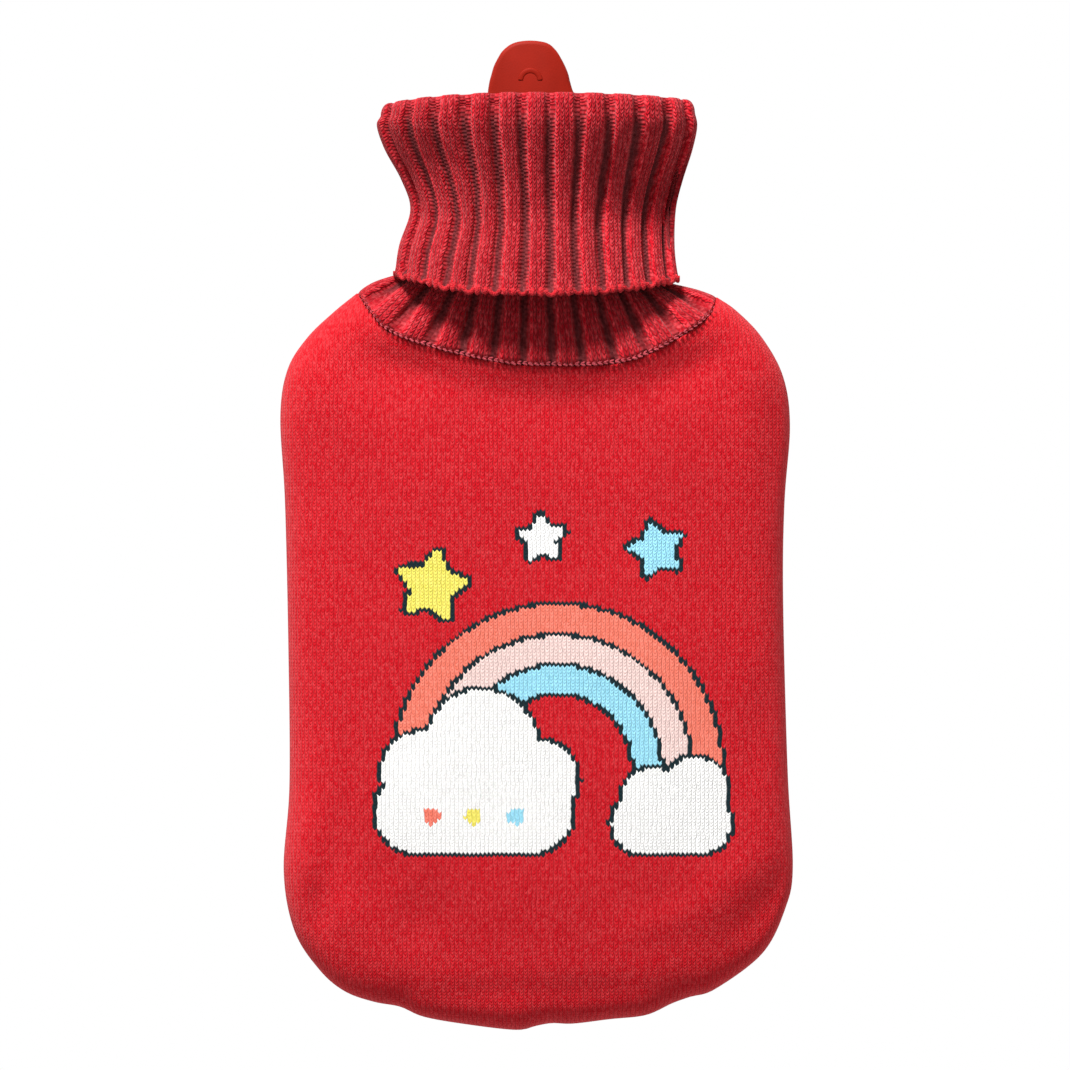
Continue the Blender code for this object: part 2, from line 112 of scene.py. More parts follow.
ROOT_RELIEF = 0.35  # depth of the valleys at the neckline, as a share of their full depth
ROOT_VALLEYS = 0.3  # where they have their full depth, as a share of the way to the throat
# How the ribs wander round the collar. Columns: half waves in a quarter of it, reach as a share of a quarter,
# and height over which the wandering changes
RIB_WANDER = ((2, 0.008, 21.0), (5, 0.006, 15.0), (9, 0.004, 11.0))
FOLD_RELIEF = 0.6  # depth of the valleys on top of the fold, as a share of their full depth
INNER_RELIEF = 0.9  # depth of the ribs on the inside of the collar
HEM_BAND_START = 1.0  # how far above the hem the valleys begin to deepen
HEM_BAND = 3.2  # over what height they reach their full depth
HEM_RELIEF = 0.22  # depth of the valleys at the hem, as a share of their full depth
HEM_SCALLOP = 0.8  # how far the ribs hang below the valleys at the hem
# The rounded hem, from its inside to its outside. Columns: depth as a share of the cloth, and rise in mm
HEM_ROUNDING = ((1.0, 1.0), (0.8, 0.25), (0.5, 0.0), (0.2, 0.3))
ROWS_PER_SECTION = 9  # mesh rows from one row of CUFF to the next, outside
HIDDEN_STEPS = 3  # and inside
ROOT_ROWS = 20  # mesh rows from the neckline to the throat
ROOT_SPACING = 1.6  # how much closer these lie at the neckline: 1 is even
ROOT_INSIDE = (0.6, 0.3, 0.0)  # where the root's inner face has rows, as shares of the way to the throat
FOLD_ROWS = 12  # mesh rows over the fold

# Bottle neck
RUBBER = 3.2  # thickness of its wall
NECK_SEAT = COLLAR_WALL + GAP  # height of its underside
RIM_Y = 165.0  # where its rim lies along Y
TAB_HALF = 19.0  # half width of the flat that the tab grows from
FLAT_SHARE = 0.8  # the most of a section's width that its flat takes
TAB_STEPS = 61  # mesh points over the tab
NECK_STEPS = 61  # mesh points round the rest of a section
EDGE_STEPS = 6  # mesh steps round the rubber's edge
RING_PLACE = (-2.4, 174.7)  # x and y of the middle of the half ring on the tab
RING_RADIUS = 3.7
RING_WIRE = 1.0  # half its thickness
RING_RELIEF = 0.18  # height of the ring, as a share of its own thickness
RING_STEPS = 32  # mesh steps along it

# Outline of the body, from the left end of the neckline round the bottom to its right end. Columns: x, y
OUTLINE = (
    (-69.0, 92.8),
    (-78.0, 85.5),
    (-88.2, 75.6),
    (-95.7, 63.3),
    (-98.4, 45.0),
    (-96.6, 12.0),
    (-95.3, -44.0),
    (-94.9, -96.0),
    (-97.1, -129.0),
    (-92.9, -152.0),
    (-83.2, -167.0),
    (-73.6, -175.1),
    (-62.5, -179.1),
    (-52.4, -181.0),
    (-43.5, -184.8),
    (-28.0, -187.6),
    (-8.0, -189.9),
    (0.0, -188.3),
    (6.0, -187.3),
    (14.0, -187.5),
    (28.0, -185.8),
    (42.0, -184.2),
    (52.0, -179.7),
    (59.0, -177.2),
    (68.6, -174.2),
    (86.8, -160.4),
    (95.6, -143.0),
    (98.4, -127.0),
    (96.4, -90.0),
    (94.7, -25.0),
    (95.2, 12.0),
    (97.3, 42.0),
    (94.6, 61.0),
    (86.4, 76.0),
    (76.6, 86.2),
    (69.2, 91.3),
)
BOTTOM_ROW = 16  # the row of OUTLINE at the lowest point

# Necklines, from the left end to the right. Columns: x, y
FRONT_NECKLINE = (
    (-69.0, 92.8),
    (-63.6, 85.0),
    (-56.0, 77.4),
    (-37.0, 70.8),
    (-14.0, 65.8),
    (0.0, 64.8),
    (20.0, 64.7),
    (38.0, 67.2),
    (56.0, 76.2),
    (66.4, 84.0),
    (69.2, 91.3),
)
BACK_NECKLINE = (
    (-69.0, 92.8),
    (-58.0, 90.6),
    (-30.0, 89.0),
    (0.0, 88.5),
    (30.0, 88.8),
    (58.0, 90.0),
    (69.2, 91.3),
)

# Creases of the front: a trough where the depth is above 0, a ridge where it is below.
# Columns: x and y of one end, x and y of the other, half width, depth
CREASES = (
    (-84.5, -134.0, -81.5, -151.0, 5.5, 1.6),
    (-78.0, -138.0, -73.0, -153.0, 6.0, -0.8),
    (98.0, -129.0, 75.0, -156.0, 8.0, 2.6),
    (81.0, -124.0, 63.0, -145.0, 9.0, -0.9),
    (-87.5, -104.0, -86.0, -136.0, 6.0, -1.2),
    (-76.5, -104.0, -75.0, -134.0, 6.5, 0.8),
    (62.0, -144.0, 36.0, -152.0, 7.0, -0.9),
    (-50.0, -176.0, 52.0, -174.0, 5.5, 1.1),
    (88.0, -60.0, 80.0, -98.0, 8.0, 1.0),
    (91.0, 52.0, 91.5, 14.0, 7.0, 1.3),
    (-62.0, -122.0, -40.0, -157.0, 17.0, 1.3),
    (-84.0, 60.0, -60.0, 34.0, 12.0, -0.8),
    (20.0, 40.0, 48.0, -8.0, 22.0, 1.0),
    (-62.0, 70.0, -40.0, 60.0, 7.0, 0.9),
    (52.0, 60.0, 70.0, 70.0, 7.0, 0.9),
)

# Mesh of the panels
CURVE_STEPS = 12  # points from one row of an outline to the next
SIDE_STEPS = 170  # mesh steps along the outline from a neckline end to the bottom
EDGE_ROWS = 14  # mesh steps over the rounded edge
MIDDLE_ROWS = 40  # mesh steps from there to the middle
PROFILE_STEPS = 60  # points of the rounded edge when its length is measured
NECK_BEND = 0.3  # over how much of the way to the bottom the mesh lines take the neckline's bend
SPINE_BOTTOM = -128.0  # y where the line ends in which the panel's two halves meet

# Sections of the collar's outer face, from the hem to the fold.
# Columns: y_left, y_right, y_front, y_back, x_left, x_right, z_front, squareness
CUFF = (
    (99.0, 97.2, 91.3, 101.0, -55.0, 54.9, 57.6, 2.1),  # hem
    (111.0, 110.0, 104.0, 111.0, -53.2, 53.4, 53.0, 2.1),
    (124.7, 124.7, 119.0, 124.0, -48.9, 53.9, 48.0, 2.1),  # waist
    (136.0, 136.0, 133.0, 136.0, -52.4, 56.6, 48.8, 2.1),
    (147.5, 147.5, 146.5, 147.0, -58.6, 60.2, 52.0, 2.2),
    (156.5, 156.5, 157.5, 158.0, -61.6, 62.0, 55.0, 2.3),  # widest
    (160.3, 161.7, 164.1, 164.1, -60.1, 61.1, 55.0, 2.4),  # where the fold starts
)
THROAT = (101.2, 97.0, 97.0, 100.0, -49.8, 49.8, 36.5, 2.3)

# Soft hollows in the front of the collar.
# Columns: x and y of the deepest place, half width, half height above it, half height below it, depth
HOLLOWS = (
    (40.0, 119.0, 24.0, 25.0, 44.0, 6.8),
    (46.0, 138.0, 19.0, 12.0, 25.0, 6.4),
    (-41.0, 140.0, 14.0, 10.0, 20.0, 2.6),
    (2.0, 113.0, 24.0, 17.0, 13.0, -1.9),
)
HOLLOW_START = 10.0  # how far in front of the collar's middle they have their full depth

# Sections of the bottle neck. Columns: y, half_width, z_front
NECK = (
    (104.0, 21.0, 33.0),
    (126.0, 21.0, 33.0),
    (146.0, 25.0, 35.5),
    (RIM_Y, 30.5, 40.0),
)

# Outline of the tab from the left end of its flat to the right. Columns: x, y above the rim
TAB = (
    (-19.0, 0.0),
    (-18.8, 4.5),
    (-18.2, 8.8),
    (-17.4, 11.8),
    (-16.5, 14.9),
    (-15.0, 18.0),
    (-12.8, 21.3),
    (-8.7, 24.1),
    (-2.5, 25.0),
    (3.9, 24.1),
    (7.4, 21.3),
    (9.5, 18.0),
    (11.1, 14.9),
    (12.3, 11.8),
    (13.0, 8.8),
    (14.6, 4.5),
    (19.0, 0.0),
)

# Chains of stitches. Columns: length of a stitch, thickness of its yarn, how far its two legs stand apart
LINKING_CHAIN = (2.2, 0.9, 0.8)
SIDE_CHAIN = (2.6, 0.8, 0.6)
CHAIN_LEG = 0.47  # half the length of a leg, as a share of the stitch
CHAIN_REACH = 0.3  # how far before and after a stitch the chain's direction is taken
CHAIN_LEAN = 0.35  # how far the two legs lean away from each other
CHAIN_RISE = (1.7, 1.1)  # how far above the body the neckline's chain lies, at the front and the back
CHAIN_SHIFT = 0.8  # how far from the panels it lies
CHAIN_TAPER = 0.5  # how much smaller its stitches are at its ends
TAPER_START = 5  # how near its ends they begin to shrink: 1 is in its middle
CHAIN_END = 16  # points of the neckline left free of it at each end
SUNK_LEG = 0.2  # how much deeper its leg next to the collar lies
SIDE_CHAIN_DEPTH = 0.2  # how far under the drawn-in seam the side chain lies

# The cast-off edge at the hem: a loop under each valley and a few knuckles at the end of each rib
KNUCKLES = (7, 13)  # their places from the valley, in steps of the mesh
KNUCKLE_SIZE = (1.15, 1.9, 0.95)  # half sizes along the hem, down the ribs and through the cloth
KNUCKLE_RISE = 1.3  # how far above the hem its middle lies
KNUCKLE_DEPTH = 1.1  # how deep in the cloth its middle lies
LOOP_RADIUS = 1.75
LOOP_WIRE = 0.8  # half the thickness of its yarn
LOOP_STEPS = 8  # mesh steps along it
LOOP_RISE = 2.1  # how far above the hem its middle lies
UNEVEN = 0.2  # how much hand-worked stitches differ in size

# The picture in the front: a plain design of a rainbow between two clouds, placed on the cloth laid flat
WHITE, CORAL, PINK, BLUE, YELLOW = "#FBFAF8", "#F57E6A", "#F3D4CE", "#9ADCF2", "#F4E668"
INK = "#10282E"
INK_LINE = 1.7  # width of the dark line round each shape
RAINBOW_CENTRE = (8.0, -90.0)
RAINBOW_FOOT = -104.0
# Columns: inner and outer radius, colour
RAINBOW = (
    (28.5, 40.0, BLUE),
    (40.0, 51.5, PINK),
    (51.5, 63.5, CORAL),
)
# A cloud is a bar with rounded ends and some puffs. Columns of a bar: x and y of one end, x of the other,
# radius. Columns of a puff: x, y, radius
CLOUDS = (
    ((-46.0, -106.4, -2.0, 16.5), ((-44.0, -91.0, 16.0), (-21.0, -81.0, 22.0), (1.0, -94.0, 15.5))),
    ((40.0, -111.0, 63.0, 12.0), ((44.0, -101.0, 12.0), (60.5, -98.5, 13.5))),
)
# Columns: x, y, radius to the points, turn in degrees, radius between the points as a share, colour
STARS = (
    (-40.0, -20.0, 17.0, -10.0, 0.54, YELLOW),
    (46.0, -6.0, 13.5, 14.0, 0.54, BLUE),
    (2.0, -2.0, 11.5, 4.0, 0.56, WHITE),
)
STAR_BLUNTNESS = 0.86  # where a star's points are cut off, as a share of its radius
# A row of dots on the large cloud. Columns: x, y, radius, colour
DOTS = (
    (-40.0, -108.0, 3.3, CORAL),
    (-24.0, -108.0, 3.3, YELLOW),
    (-8.0, -108.0, 3.3, BLUE),
)

# Colours of the yarns and the rubber
BODY_RED = "#CB1D27"
# the collar's yarn is the body's, given a darker colour as painted shade for the self-shadowing of its thick
# ribbed cloth
SHADED_COLLAR_RED = "#B61C27"
VALLEY_RED = "#641E21"  # the collar's yarn between the ribs, as it looks in the shade there
LINKED_RED = "#C64C56"
CAST_OFF_RED = "#D2242E"
RUBBER_RED = "#8F1B0C"
FIBRE_GLOW = "#FFCBCB"  # what the loose fibres add at a grazing view

# How the brightness of a yarn varies. Columns: darkest and lightest, as shares of its colour, and how much
# paler the lightest is
BODY_LEGS = (0.93, 1.05, 0.02)  # from one leg of a stitch to the next
BODY_STREAKS = (0.93, 1.06, 0.02)  # along the yarn
BODY_CLOUDS = (0.97, 1.03, 0.0)  # over the whole panel
BODY_GAP_SHADE = (0.8, 1.06, 0.0)  # painted shade, from dark in the gaps between stitches up to their tops
RIB_LEGS = (0.78, 1.15, 0.03)
RIB_STREAKS = (0.82, 1.14, 0.04)
FIBRE_SHADES = (0.8, 1.15, 0.03)  # over the fibres of a loose strand
SLUB_SHADES = (0.6, 1.1, 0.0)  # along a loose strand
BLOOM_SHADES = (0.94, 1.06, 0.0)  # over the rubber
# The same painted shade for the collar's gaps between stitches, where light and dark are equally pale
RIB_GAP_SHADE = (0.68, 1.1)
PURL_GAP_SHADE = (0.88, 1.04)

# Light and shade over a rib, by the share of the way from the middle of one valley to the next
LIT_SIDE = (0.31, 0.36)  # where the light on the rib's left side ends
LIT_SIDE_LIGHT = (1.36, 0.95)  # brightness before and after that
VALLEY_SHADE = (0.44, 0.31)  # how far from the rib's middle the valley's shade is full, and where it ends
LESS_SHADE = 0.65  # how much of it is gone over the fold and at the neckline's ends, where light gets in
FOLD_LIGHT = (156.0, 166.0)  # between which places along Y it goes
SEAM_LIGHT = (2.0, 10.0)  # over which rows of stitches above the neckline it comes back
SIDE_LIGHT = (34.0, 56.0)  # between which distances from the middle it goes there

# Relief of the stitches. Heights and depths are shares of a knit stitch's height
WALE_LINE = 4.0  # how narrow the line between two columns is: 1 is as wide as they are
HOLE_NARROWNESS = 1.5  # how narrow the hole between two stitches of a column is: 1 is as wide as they are
HOLE_DEPTH = 0.7
LEG_ROUNDING = 0.25  # how much lower a leg is at its ends
PURL_HEIGHT = 0.4  # halfway up the side of a purl stitch
PURL_RELIEF = 0.25  # how far it rises above that and sinks below it

# Patterns' real sizes
BODY_RELIEF = 0.3  # height of the body's stitches
RIB_RELIEF = 0.6  # height of the collar's stitches
FIBRE = 0.5  # the yarn's fibres: real ones are finer than a render shows, so they are drawn in tufts
FIBRE_RELIEF = 0.3  # height of those tufts
SLUB = 4.0  # where the yarn is thicker or darker
BLOOM = 9.0  # clouds on old rubber
GRIT = 0.4  # the mould's grain, also drawn coarser than it is
GRIT_RELIEF = 0.02  # height of that grain
# Patterns' sizes in a knit, in waves to a stitch across, up and through
BODY_STREAK = (2.8, 0.7, 1.0)
BODY_CLOUD = (0.05, 0.04, 1.0)
RIB_STREAK = (2.2, 1.0, 1.0)

# Camera: straight above, and so far away that the lines of sight are nearly parallel. In metres
FRAME_WIDTH = 0.4104  # what the picture shows from side to side
FRAME_CENTRE = (-0.0006, 0.0, 0.02)
CAMERA_DISTANCE = 6.0

# Light, in metres and watts
TABLE_REACH = 4.0  # from the middle of the light table to its sides
ROOM_LIGHT = 0.46  # strength of the white light from all around
WINDOW_PLACE = (-0.75, 2.38, 1.42)
WINDOW_SIZE = 0.8
WINDOW_POWER = 144.0


# Small tools


def smooth_line(rows, steps=CURVE_STEPS):
    """Points along a smooth curve through every row, with an even number of steps between rows."""
    rows = np.array(rows, float)
    knots = np.concatenate([2 * rows[:1] - rows[1:2], rows, 2 * rows[-1:] - rows[-2:-1]])
    points = []
    for a, b, c, d in zip(knots, knots[1:], knots[2:], knots[3:]):
        squared, cubed = 2 * a - 5 * b + 4 * c - d, 3 * b - a - 3 * c + d
        for t in np.arange(steps) / steps:
            points.append(0.5 * (2 * b + (c - a) * t + squared * t**2 + cubed * t**3))
    return np.array([*points, rows[-1]])


def lengths_along(line):
    return np.concatenate([[0.0], np.cumsum(np.linalg.norm(np.diff(line, axis=0), axis=1))])


def at_lengths(line, where, columns=None):
    """The line's values at these lengths from its start, measured over all its columns or over these."""
    lengths = lengths_along(line if columns is None else line[:, columns])
    return np.stack([np.interp(where, lengths, line[:, k]) for k in range(line.shape[1])], axis=1)


def at_fractions(line, fractions):
    return at_lengths(line, np.asarray(fractions) * lengths_along(line)[-1])


def unit(vectors):
    return vectors / np.maximum(np.linalg.norm(vectors, axis=-1, keepdims=True), 1e-12)


def ease(t):
    t = np.clip(t, 0.0, 1.0)
    return t * t * (3 - 2 * t)


def turn_faces_out(bm):
    bmesh.ops.recalc_face_normals(bm, faces=bm.faces)
    if bm.calc_volume(signed=True) < 0:
        bmesh.ops.reverse_faces(bm, faces=bm.faces)


def add_piece(name, bm, material, replaces=None):
    """Turns a bmesh in millimetres into a smooth piece in metres that goes with the one body."""
    bmesh.ops.scale(bm, vec=(MM, MM, MM), verts=bm.verts)
    mesh = bpy.data.meshes.new(name)
    bm.to_mesh(mesh)
    bm.free()
    mesh.shade_smooth()
    mesh.materials.append(material)
    piece = bpy.data.objects.new(name, mesh)
    bpy.context.scene.collection.objects.link(piece)
    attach(piece, "root")
    if replaces:
        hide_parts(replaces)
    return piece


def cloth_grid(places, stitches):
    """A grid of faces laid over rows of places, with the stitches counted along it as its UV map."""
    rows, columns = places.shape[:2]
    bm = bmesh.new()
    bmesh.ops.create_grid(bm, x_segments=columns - 1, y_segments=rows - 1, size=1.0)
    for vert, place in zip(bm.verts, places.reshape(-1, 3)):
        vert.co = place
    counts = stitches.reshape(-1, 2)
    layer = bm.loops.layers.uv.new("stitches")
    for face in bm.faces:
        for loop in face.loops:
            loop[layer].uv = counts[loop.vert.index]
    bmesh.ops.remove_doubles(bm, verts=bm.verts, dist=1e-3)
    return bm


# Shape of the body

OUTLINE_LINE = smooth_line(OUTLINE)
SHOULDER = 40.0  # the outline runs straight on by this much past each end, when the edge is measured
EDGE_LINE = np.concatenate(
    [
        OUTLINE_LINE[:1] + SHOULDER * unit(OUTLINE_LINE[:1] - OUTLINE_LINE[3:4]),
        OUTLINE_LINE,
        OUTLINE_LINE[-1:] + SHOULDER * unit(OUTLINE_LINE[-1:] - OUTLINE_LINE[-4:-3]),
    ]
)
NECKLINES = {"front": smooth_line(FRONT_NECKLINE), "back": smooth_line(BACK_NECKLINE)}
EDGES = {"front": FRONT_EDGE, "back": BACK_EDGE}
RISES = {"front": FRONT_RISE, "back": GAP / 2 - SEAM_Z}


def nearest_on(line, places):
    """For each place its distance to a line, the way to it, and the line's direction there."""
    start = line[:-1]
    along = np.diff(line, axis=0)
    offset = places[:, None] - start
    t = np.clip((offset * along).sum(axis=-1) / (along**2).sum(axis=-1), 0.0, 1.0)
    to_line = start + along * t[..., None] - places[:, None]
    distances = np.linalg.norm(to_line, axis=-1)
    nearest = distances.argmin(axis=1)
    each = np.arange(len(places))
    return distances[each, nearest], to_line[each, nearest], along[nearest]


def nearest_edge(places):
    """Distance from each place to the body's outline, and the direction from it to that outline."""
    distance, to_edge, along = nearest_on(EDGE_LINE, places)
    outward = unit(np.stack([along[:, 1], -along[:, 0]], axis=1))
    on_edge = distance < 1e-6
    return distance, np.where(on_edge[:, None], outward, unit(to_edge))


def crease_depth(places):
    """How far the creases lower the front at each place."""
    depth = np.zeros(len(places))
    for x1, y1, x2, y2, half_width, most in CREASES:
        along = np.array([x2 - x1, y2 - y1])
        offset = places - (x1, y1)
        t = np.clip(offset @ along / (along @ along), 0.0, 1.0)
        away = np.linalg.norm(offset - t[:, None] * along, axis=1) / half_width
        depth += most * (1 - CREASE_FADE * np.abs(2 * t - 1) ** 3) * np.exp(-(away**2))
    return depth


def crown_share(y, lowest, full, least):
    return least + (1 - least) * ease((y - lowest) / (full - lowest))


def body_surface(side, places):
    """The body's outer face over these places: its points, and the directions out of the cloth there."""
    distance, to_edge = nearest_edge(places)
    y = places[:, 1]
    edge, rise, power = EDGES[side], RISES[side], EDGE_POWERS[side]
    across = np.maximum(1 - distance / edge, 0.0)
    height = (1 - across**power) ** (1 / power)
    up = 1 if side == "front" else -1
    z = SEAM_Z + up * GAP / 2 + rise * height
    if side == "front":
        share = crown_share(y, *CROWN_TO_COLLAR) * crown_share(y, *CROWN_TO_BOTTOM)
        z += CROWN * ease(distance / CROWN_RISE) * share
        z -= crease_depth(places) * ease(distance / CREASE_START)
        from_neckline = nearest_on(NECKLINES["front"], places)[0] / NECK_LIFT_REACH
        z += NECK_LIFT * np.exp(-(from_neckline**2)) * ease(distance / LIFT_FULL)
    else:
        z += BACK_LIFT * ease((y - LIFT_START) / (LIFT_END - LIFT_START)) * ease(distance / BACK_EDGE)
    flat = (across ** (power - 1) / edge)[:, None] * to_edge
    normal = unit(np.column_stack([flat, up * height ** (power - 1) / abs(rise)]))
    return np.column_stack([places, z]), normal


def drawn_in(points, places):
    """The points with the cloth drawn in along the side seam."""
    _, to_edge = nearest_edge(places)
    from_seam = np.abs(points[:, 2] - SEAM_Z) / PINCH_HEIGHT
    inward = PINCH * np.exp(-(from_seam**2))
    return points - np.column_stack([to_edge * inward[:, None], np.zeros(len(points))])


def laid_flat(side, places):
    """Where each place lies on the cloth when its rounded edge is unrolled, counted in stitches."""
    distance, to_edge = nearest_edge(places)
    edge, rise, power = EDGES[side], RISES[side], EDGE_POWERS[side]
    steps = np.linspace(0.0, 1.0, PROFILE_STEPS)
    profile = np.stack([edge * steps, rise * (1 - (1 - steps) ** power) ** (1 / power)], axis=1)
    lengths = lengths_along(profile)
    spare = lengths[-1] - lengths - (edge - profile[:, 0])
    flat = places + to_edge * np.interp(distance, profile[:, 0], spare)[:, None]
    return flat / (WALE, COURSE)


def line_distances(edge, reach):
    """How far in from the outline each mesh line runs: closer over the rounded edge, then evenly spaced."""
    over_edge = [edge * (1 - cos(pi / 2 * k / EDGE_ROWS)) for k in range(EDGE_ROWS)]
    return np.array([*over_edge, *np.linspace(edge, reach, MIDDLE_ROWS + 1)])


def panel_places(side):
    """Where each point of a panel lies over the surface: rows from one end of the neckline, round the bottom,
    to the other end, and in each row from the outline to the middle."""
    bottom = BOTTOM_ROW * CURVE_STEPS
    left = at_fractions(OUTLINE_LINE[: bottom + 1], np.arange(SIDE_STEPS + 1) / SIDE_STEPS)
    right = at_fractions(OUTLINE_LINE[bottom:], np.arange(1, SIDE_STEPS + 1) / SIDE_STEPS)
    neckline = NECKLINES[side]
    middle = len(neckline) // 2
    top = neckline[middle]
    rows = []
    for row, start in enumerate([*left, *right]):
        down = 1 - abs(row / SIDE_STEPS - 1)
        spine_x = top[0] + (OUTLINE[BOTTOM_ROW][0] - top[0]) * ease(down)
        spine = np.array([spine_x, top[1] + (SPINE_BOTTOM - top[1]) * down])
        half = neckline[: middle + 1] if row <= SIDE_STEPS else neckline[middle:][::-1]
        reach = np.linalg.norm(spine - start)
        along = line_distances(EDGES[side], reach) / reach
        half_length = lengths_along(half)[-1]
        curved = at_lengths(half, line_distances(EDGES[side], half_length))
        straight = half[0] + (half[-1] - half[0]) * along[:, None]
        bend = 1 - ease(down / NECK_BEND)
        rows.append(start + (spine - start) * along[:, None] + bend * (curved - straight))
    return rows


def panel(side, material):
    """A body panel: a sheet over the rounded body, drawn in at the side seam."""
    rows = panel_places(side)
    surface = np.array([drawn_in(body_surface(side, row)[0], row) for row in rows])
    bm = cloth_grid(surface, np.array([laid_flat(side, row) for row in rows]))
    turn_panel_out(bm, side)
    piece = add_piece(f"{side}_knit", bm, material, f"{side}_panel")
    wall = piece.modifiers.new("cloth", "SOLIDIFY")
    wall.thickness = CLOTH * MM
    wall.offset = -1.0
    return piece


def turn_panel_out(bm, side):
    """Points the faces of an open panel up on the front and down on the back."""
    bmesh.ops.recalc_face_normals(bm, faces=bm.faces)
    bm.normal_update()
    facing = sum(face.normal.z * face.calc_area() for face in bm.faces)
    if (facing > 0) != (side == "front"):
        bmesh.ops.reverse_faces(bm, faces=bm.faces)


# Shape of the collar


def hollow_depth(x, y):
    """How far the hollows lower the front of the collar."""
    depth = 0.0
    for x_deep, y_deep, wide, above, below, most in HOLLOWS:
        along = (y - y_deep) / np.where(y > y_deep, above, below)
        depth += most * np.exp(-(((x - x_deep) / wide) ** 2) - along**2)
    return depth


def section(y_left, y_right, y_front, y_back, x_left, x_right, z_front, squareness, z_back=0.0):
    """A closed section of the collar, from its left side over the front: its points and the way out there."""
    middle, rise = (z_front + z_back) / 2, (z_front - z_back) / 2
    turn = np.linspace(pi, -pi, 4 * SECTION_TURN + 1)
    c, s = np.cos(turn), np.sin(turn)
    x = np.where(c < 0, x_left, x_right) * np.abs(c) ** (2 / squareness)
    z = np.sign(s) * np.abs(s) ** (2 / squareness)
    z = np.where(z < 0, np.maximum(z * (rise + BACK_FLATTEN), -rise), z * rise)
    loop = np.stack([x, z], axis=1)
    in_quarter = RIBS * STEPS_PER_RIB // 4
    steps = np.arange(in_quarter) / in_quarter
    quarters = [loop[k * SECTION_TURN : (k + 1) * SECTION_TURN + 1] for k in range(4)]
    for waves, reach, height in RIB_WANDER:
        steps = steps + reach * np.sin(pi * waves * steps) * cos(y_front / height + waves)
    even = np.concatenate([at_fractions(line, steps) for line in quarters])
    forward = np.roll(even, -1, axis=0) - np.roll(even, 1, axis=0)
    outward = unit(np.stack([-forward[:, 1], np.zeros(len(even)), forward[:, 0]], axis=1))
    x, z = even.T
    x_end = np.where(x < 0, x_left, x_right)
    y_end = np.where(x < 0, y_left, y_right)
    to_middle = 1 - np.minimum(x / x_end, 1.0) ** SECTION_BOW
    y = y_end + (np.where(z > 0, y_front, y_back) - y_end) * to_middle
    lowered = hollow_depth(x, y) * ease(z / HOLLOW_START)
    return np.stack([x, y, middle + z - lowered], axis=1), outward


def rib_shares():
    """For each point round the collar: how deep in a valley it is, from 0 to 1, how near the line between two
    columns of stitches, and its count of stitches. A valley's middle is at the first point."""
    point = np.arange(RIBS * STEPS_PER_RIB)
    share = point % STEPS_PER_RIB / STEPS_PER_RIB
    to_valley = np.minimum(share, 1 - share)
    nearest_valley = (point + STEPS_PER_RIB // 2) // STEPS_PER_RIB % RIBS
    sizes = 1 + VALLEY_UNEVEN * np.random.RandomState(3).uniform(-1, 1, RIBS)[nearest_valley]
    floor, top = VALLEY_FLOOR * sizes, VALLEY_TOP * sizes
    flank = ease((to_valley - floor) / (top - floor))
    rounded_top = np.sin(pi / 2 * np.clip((to_valley - floor) / (0.5 - floor), 0.0, 1.0))
    valley = (1 - RIB_SHOULDER * flank - (1 - RIB_SHOULDER) * rounded_top) * sizes
    half_valley = (VALLEY_FLOOR + VALLEY_TOP) / 2
    in_stitches = [0.0, 1.0, RIB_WALES - 1.0, RIB_WALES]
    wales = np.interp(share, [0.0, half_valley, 1 - half_valley, 1.0], in_stitches)
    between = (1 - valley) * np.abs(np.cos(pi * wales))
    return valley, between, point // STEPS_PER_RIB * RIB_WALES + wales


VALLEY, BETWEEN_WALES, RIB_STITCHES = rib_shares()


def outer_relief(share=1.0):
    """How far the collar's outer face lies below the tops of its ribs, round a section."""
    return share * RIB_DEPTH * VALLEY + WALE_RELIEF * BETWEEN_WALES


def root_line():
    """The collar's root round the neckline, on the body's outer face: its points, the directions out of the
    cloth and those away from the panels."""
    half = RIBS * STEPS_PER_RIB // 2
    steps = np.arange(half + 1) / half
    crowded = steps + ROOT_CROWDING * np.sin(tau * steps) / tau
    sides = []
    for side in ("front", "back"):
        points, normals = body_surface(side, NECKLINES[side])
        lengths = lengths_along(points)[-1] * crowded
        found = at_lengths(np.column_stack([points, normals]), lengths, slice(0, 3))
        tangent = unit(np.gradient(found[:, :3], axis=0))
        normal = unit(found[:, 3:])
        away = unit(np.cross(tangent, normal))
        away *= np.where(away[:, 1:2] > 0, 1, -1)
        sides.append((found[:, :3], normal, away))
    points, normals, away = (np.concatenate([f, b[-2:0:-1]]) for f, b in zip(*sides))
    for k in (0, half):
        points[k, 2] = SEAM_Z
        normals[k, 2] = 0.0
    return points, unit(normals), away


def root_ring(step, outer):
    """A ring of the collar between the neckline, at step 0, and its throat, at step 1."""
    points, normals, away = root_line()
    throat, outward = section(*THROAT, THROAT_BACK)
    start = points + away * GAP
    ring = start + (throat - start) * step
    ring[:, 2] = start[:, 2] + (throat[:, 2] - start[:, 2]) * step * (1 + ROOT_RISE * (1 - step))
    stands = np.full(len(ring), -ROOT_CLOTH)
    if outer:
        relief = ROOT_RELIEF + (1 - ROOT_RELIEF) * ease(step / ROOT_VALLEYS)
        across = (np.arange(len(ring)) / len(ring) * 2) % 1
        at_sides = ease((np.abs(across - 0.5) - (0.5 - ROOT_SIDES)) / ROOT_SIDES)
        rounded = sqrt(1 - max(1 - step / ROOT_EDGE, 0.0) ** 2)
        puff = np.repeat(ROOT_PUFF, len(ring) // 2) * rounded * (1 - at_sides)
        swell = ROOT_SWELL + at_sides * np.where(ring[:, 0] < 0, *ROOT_SIDE_SWELL)
        stands = puff + 4 * swell * step * (1 - step) - outer_relief(relief)
    return ring + unit(normals + (outward - normals) * step) * np.reshape(stands, (-1, 1))


def inset(pair, depth):
    points, outward = pair
    return points - outward * np.reshape(depth, (-1, 1))


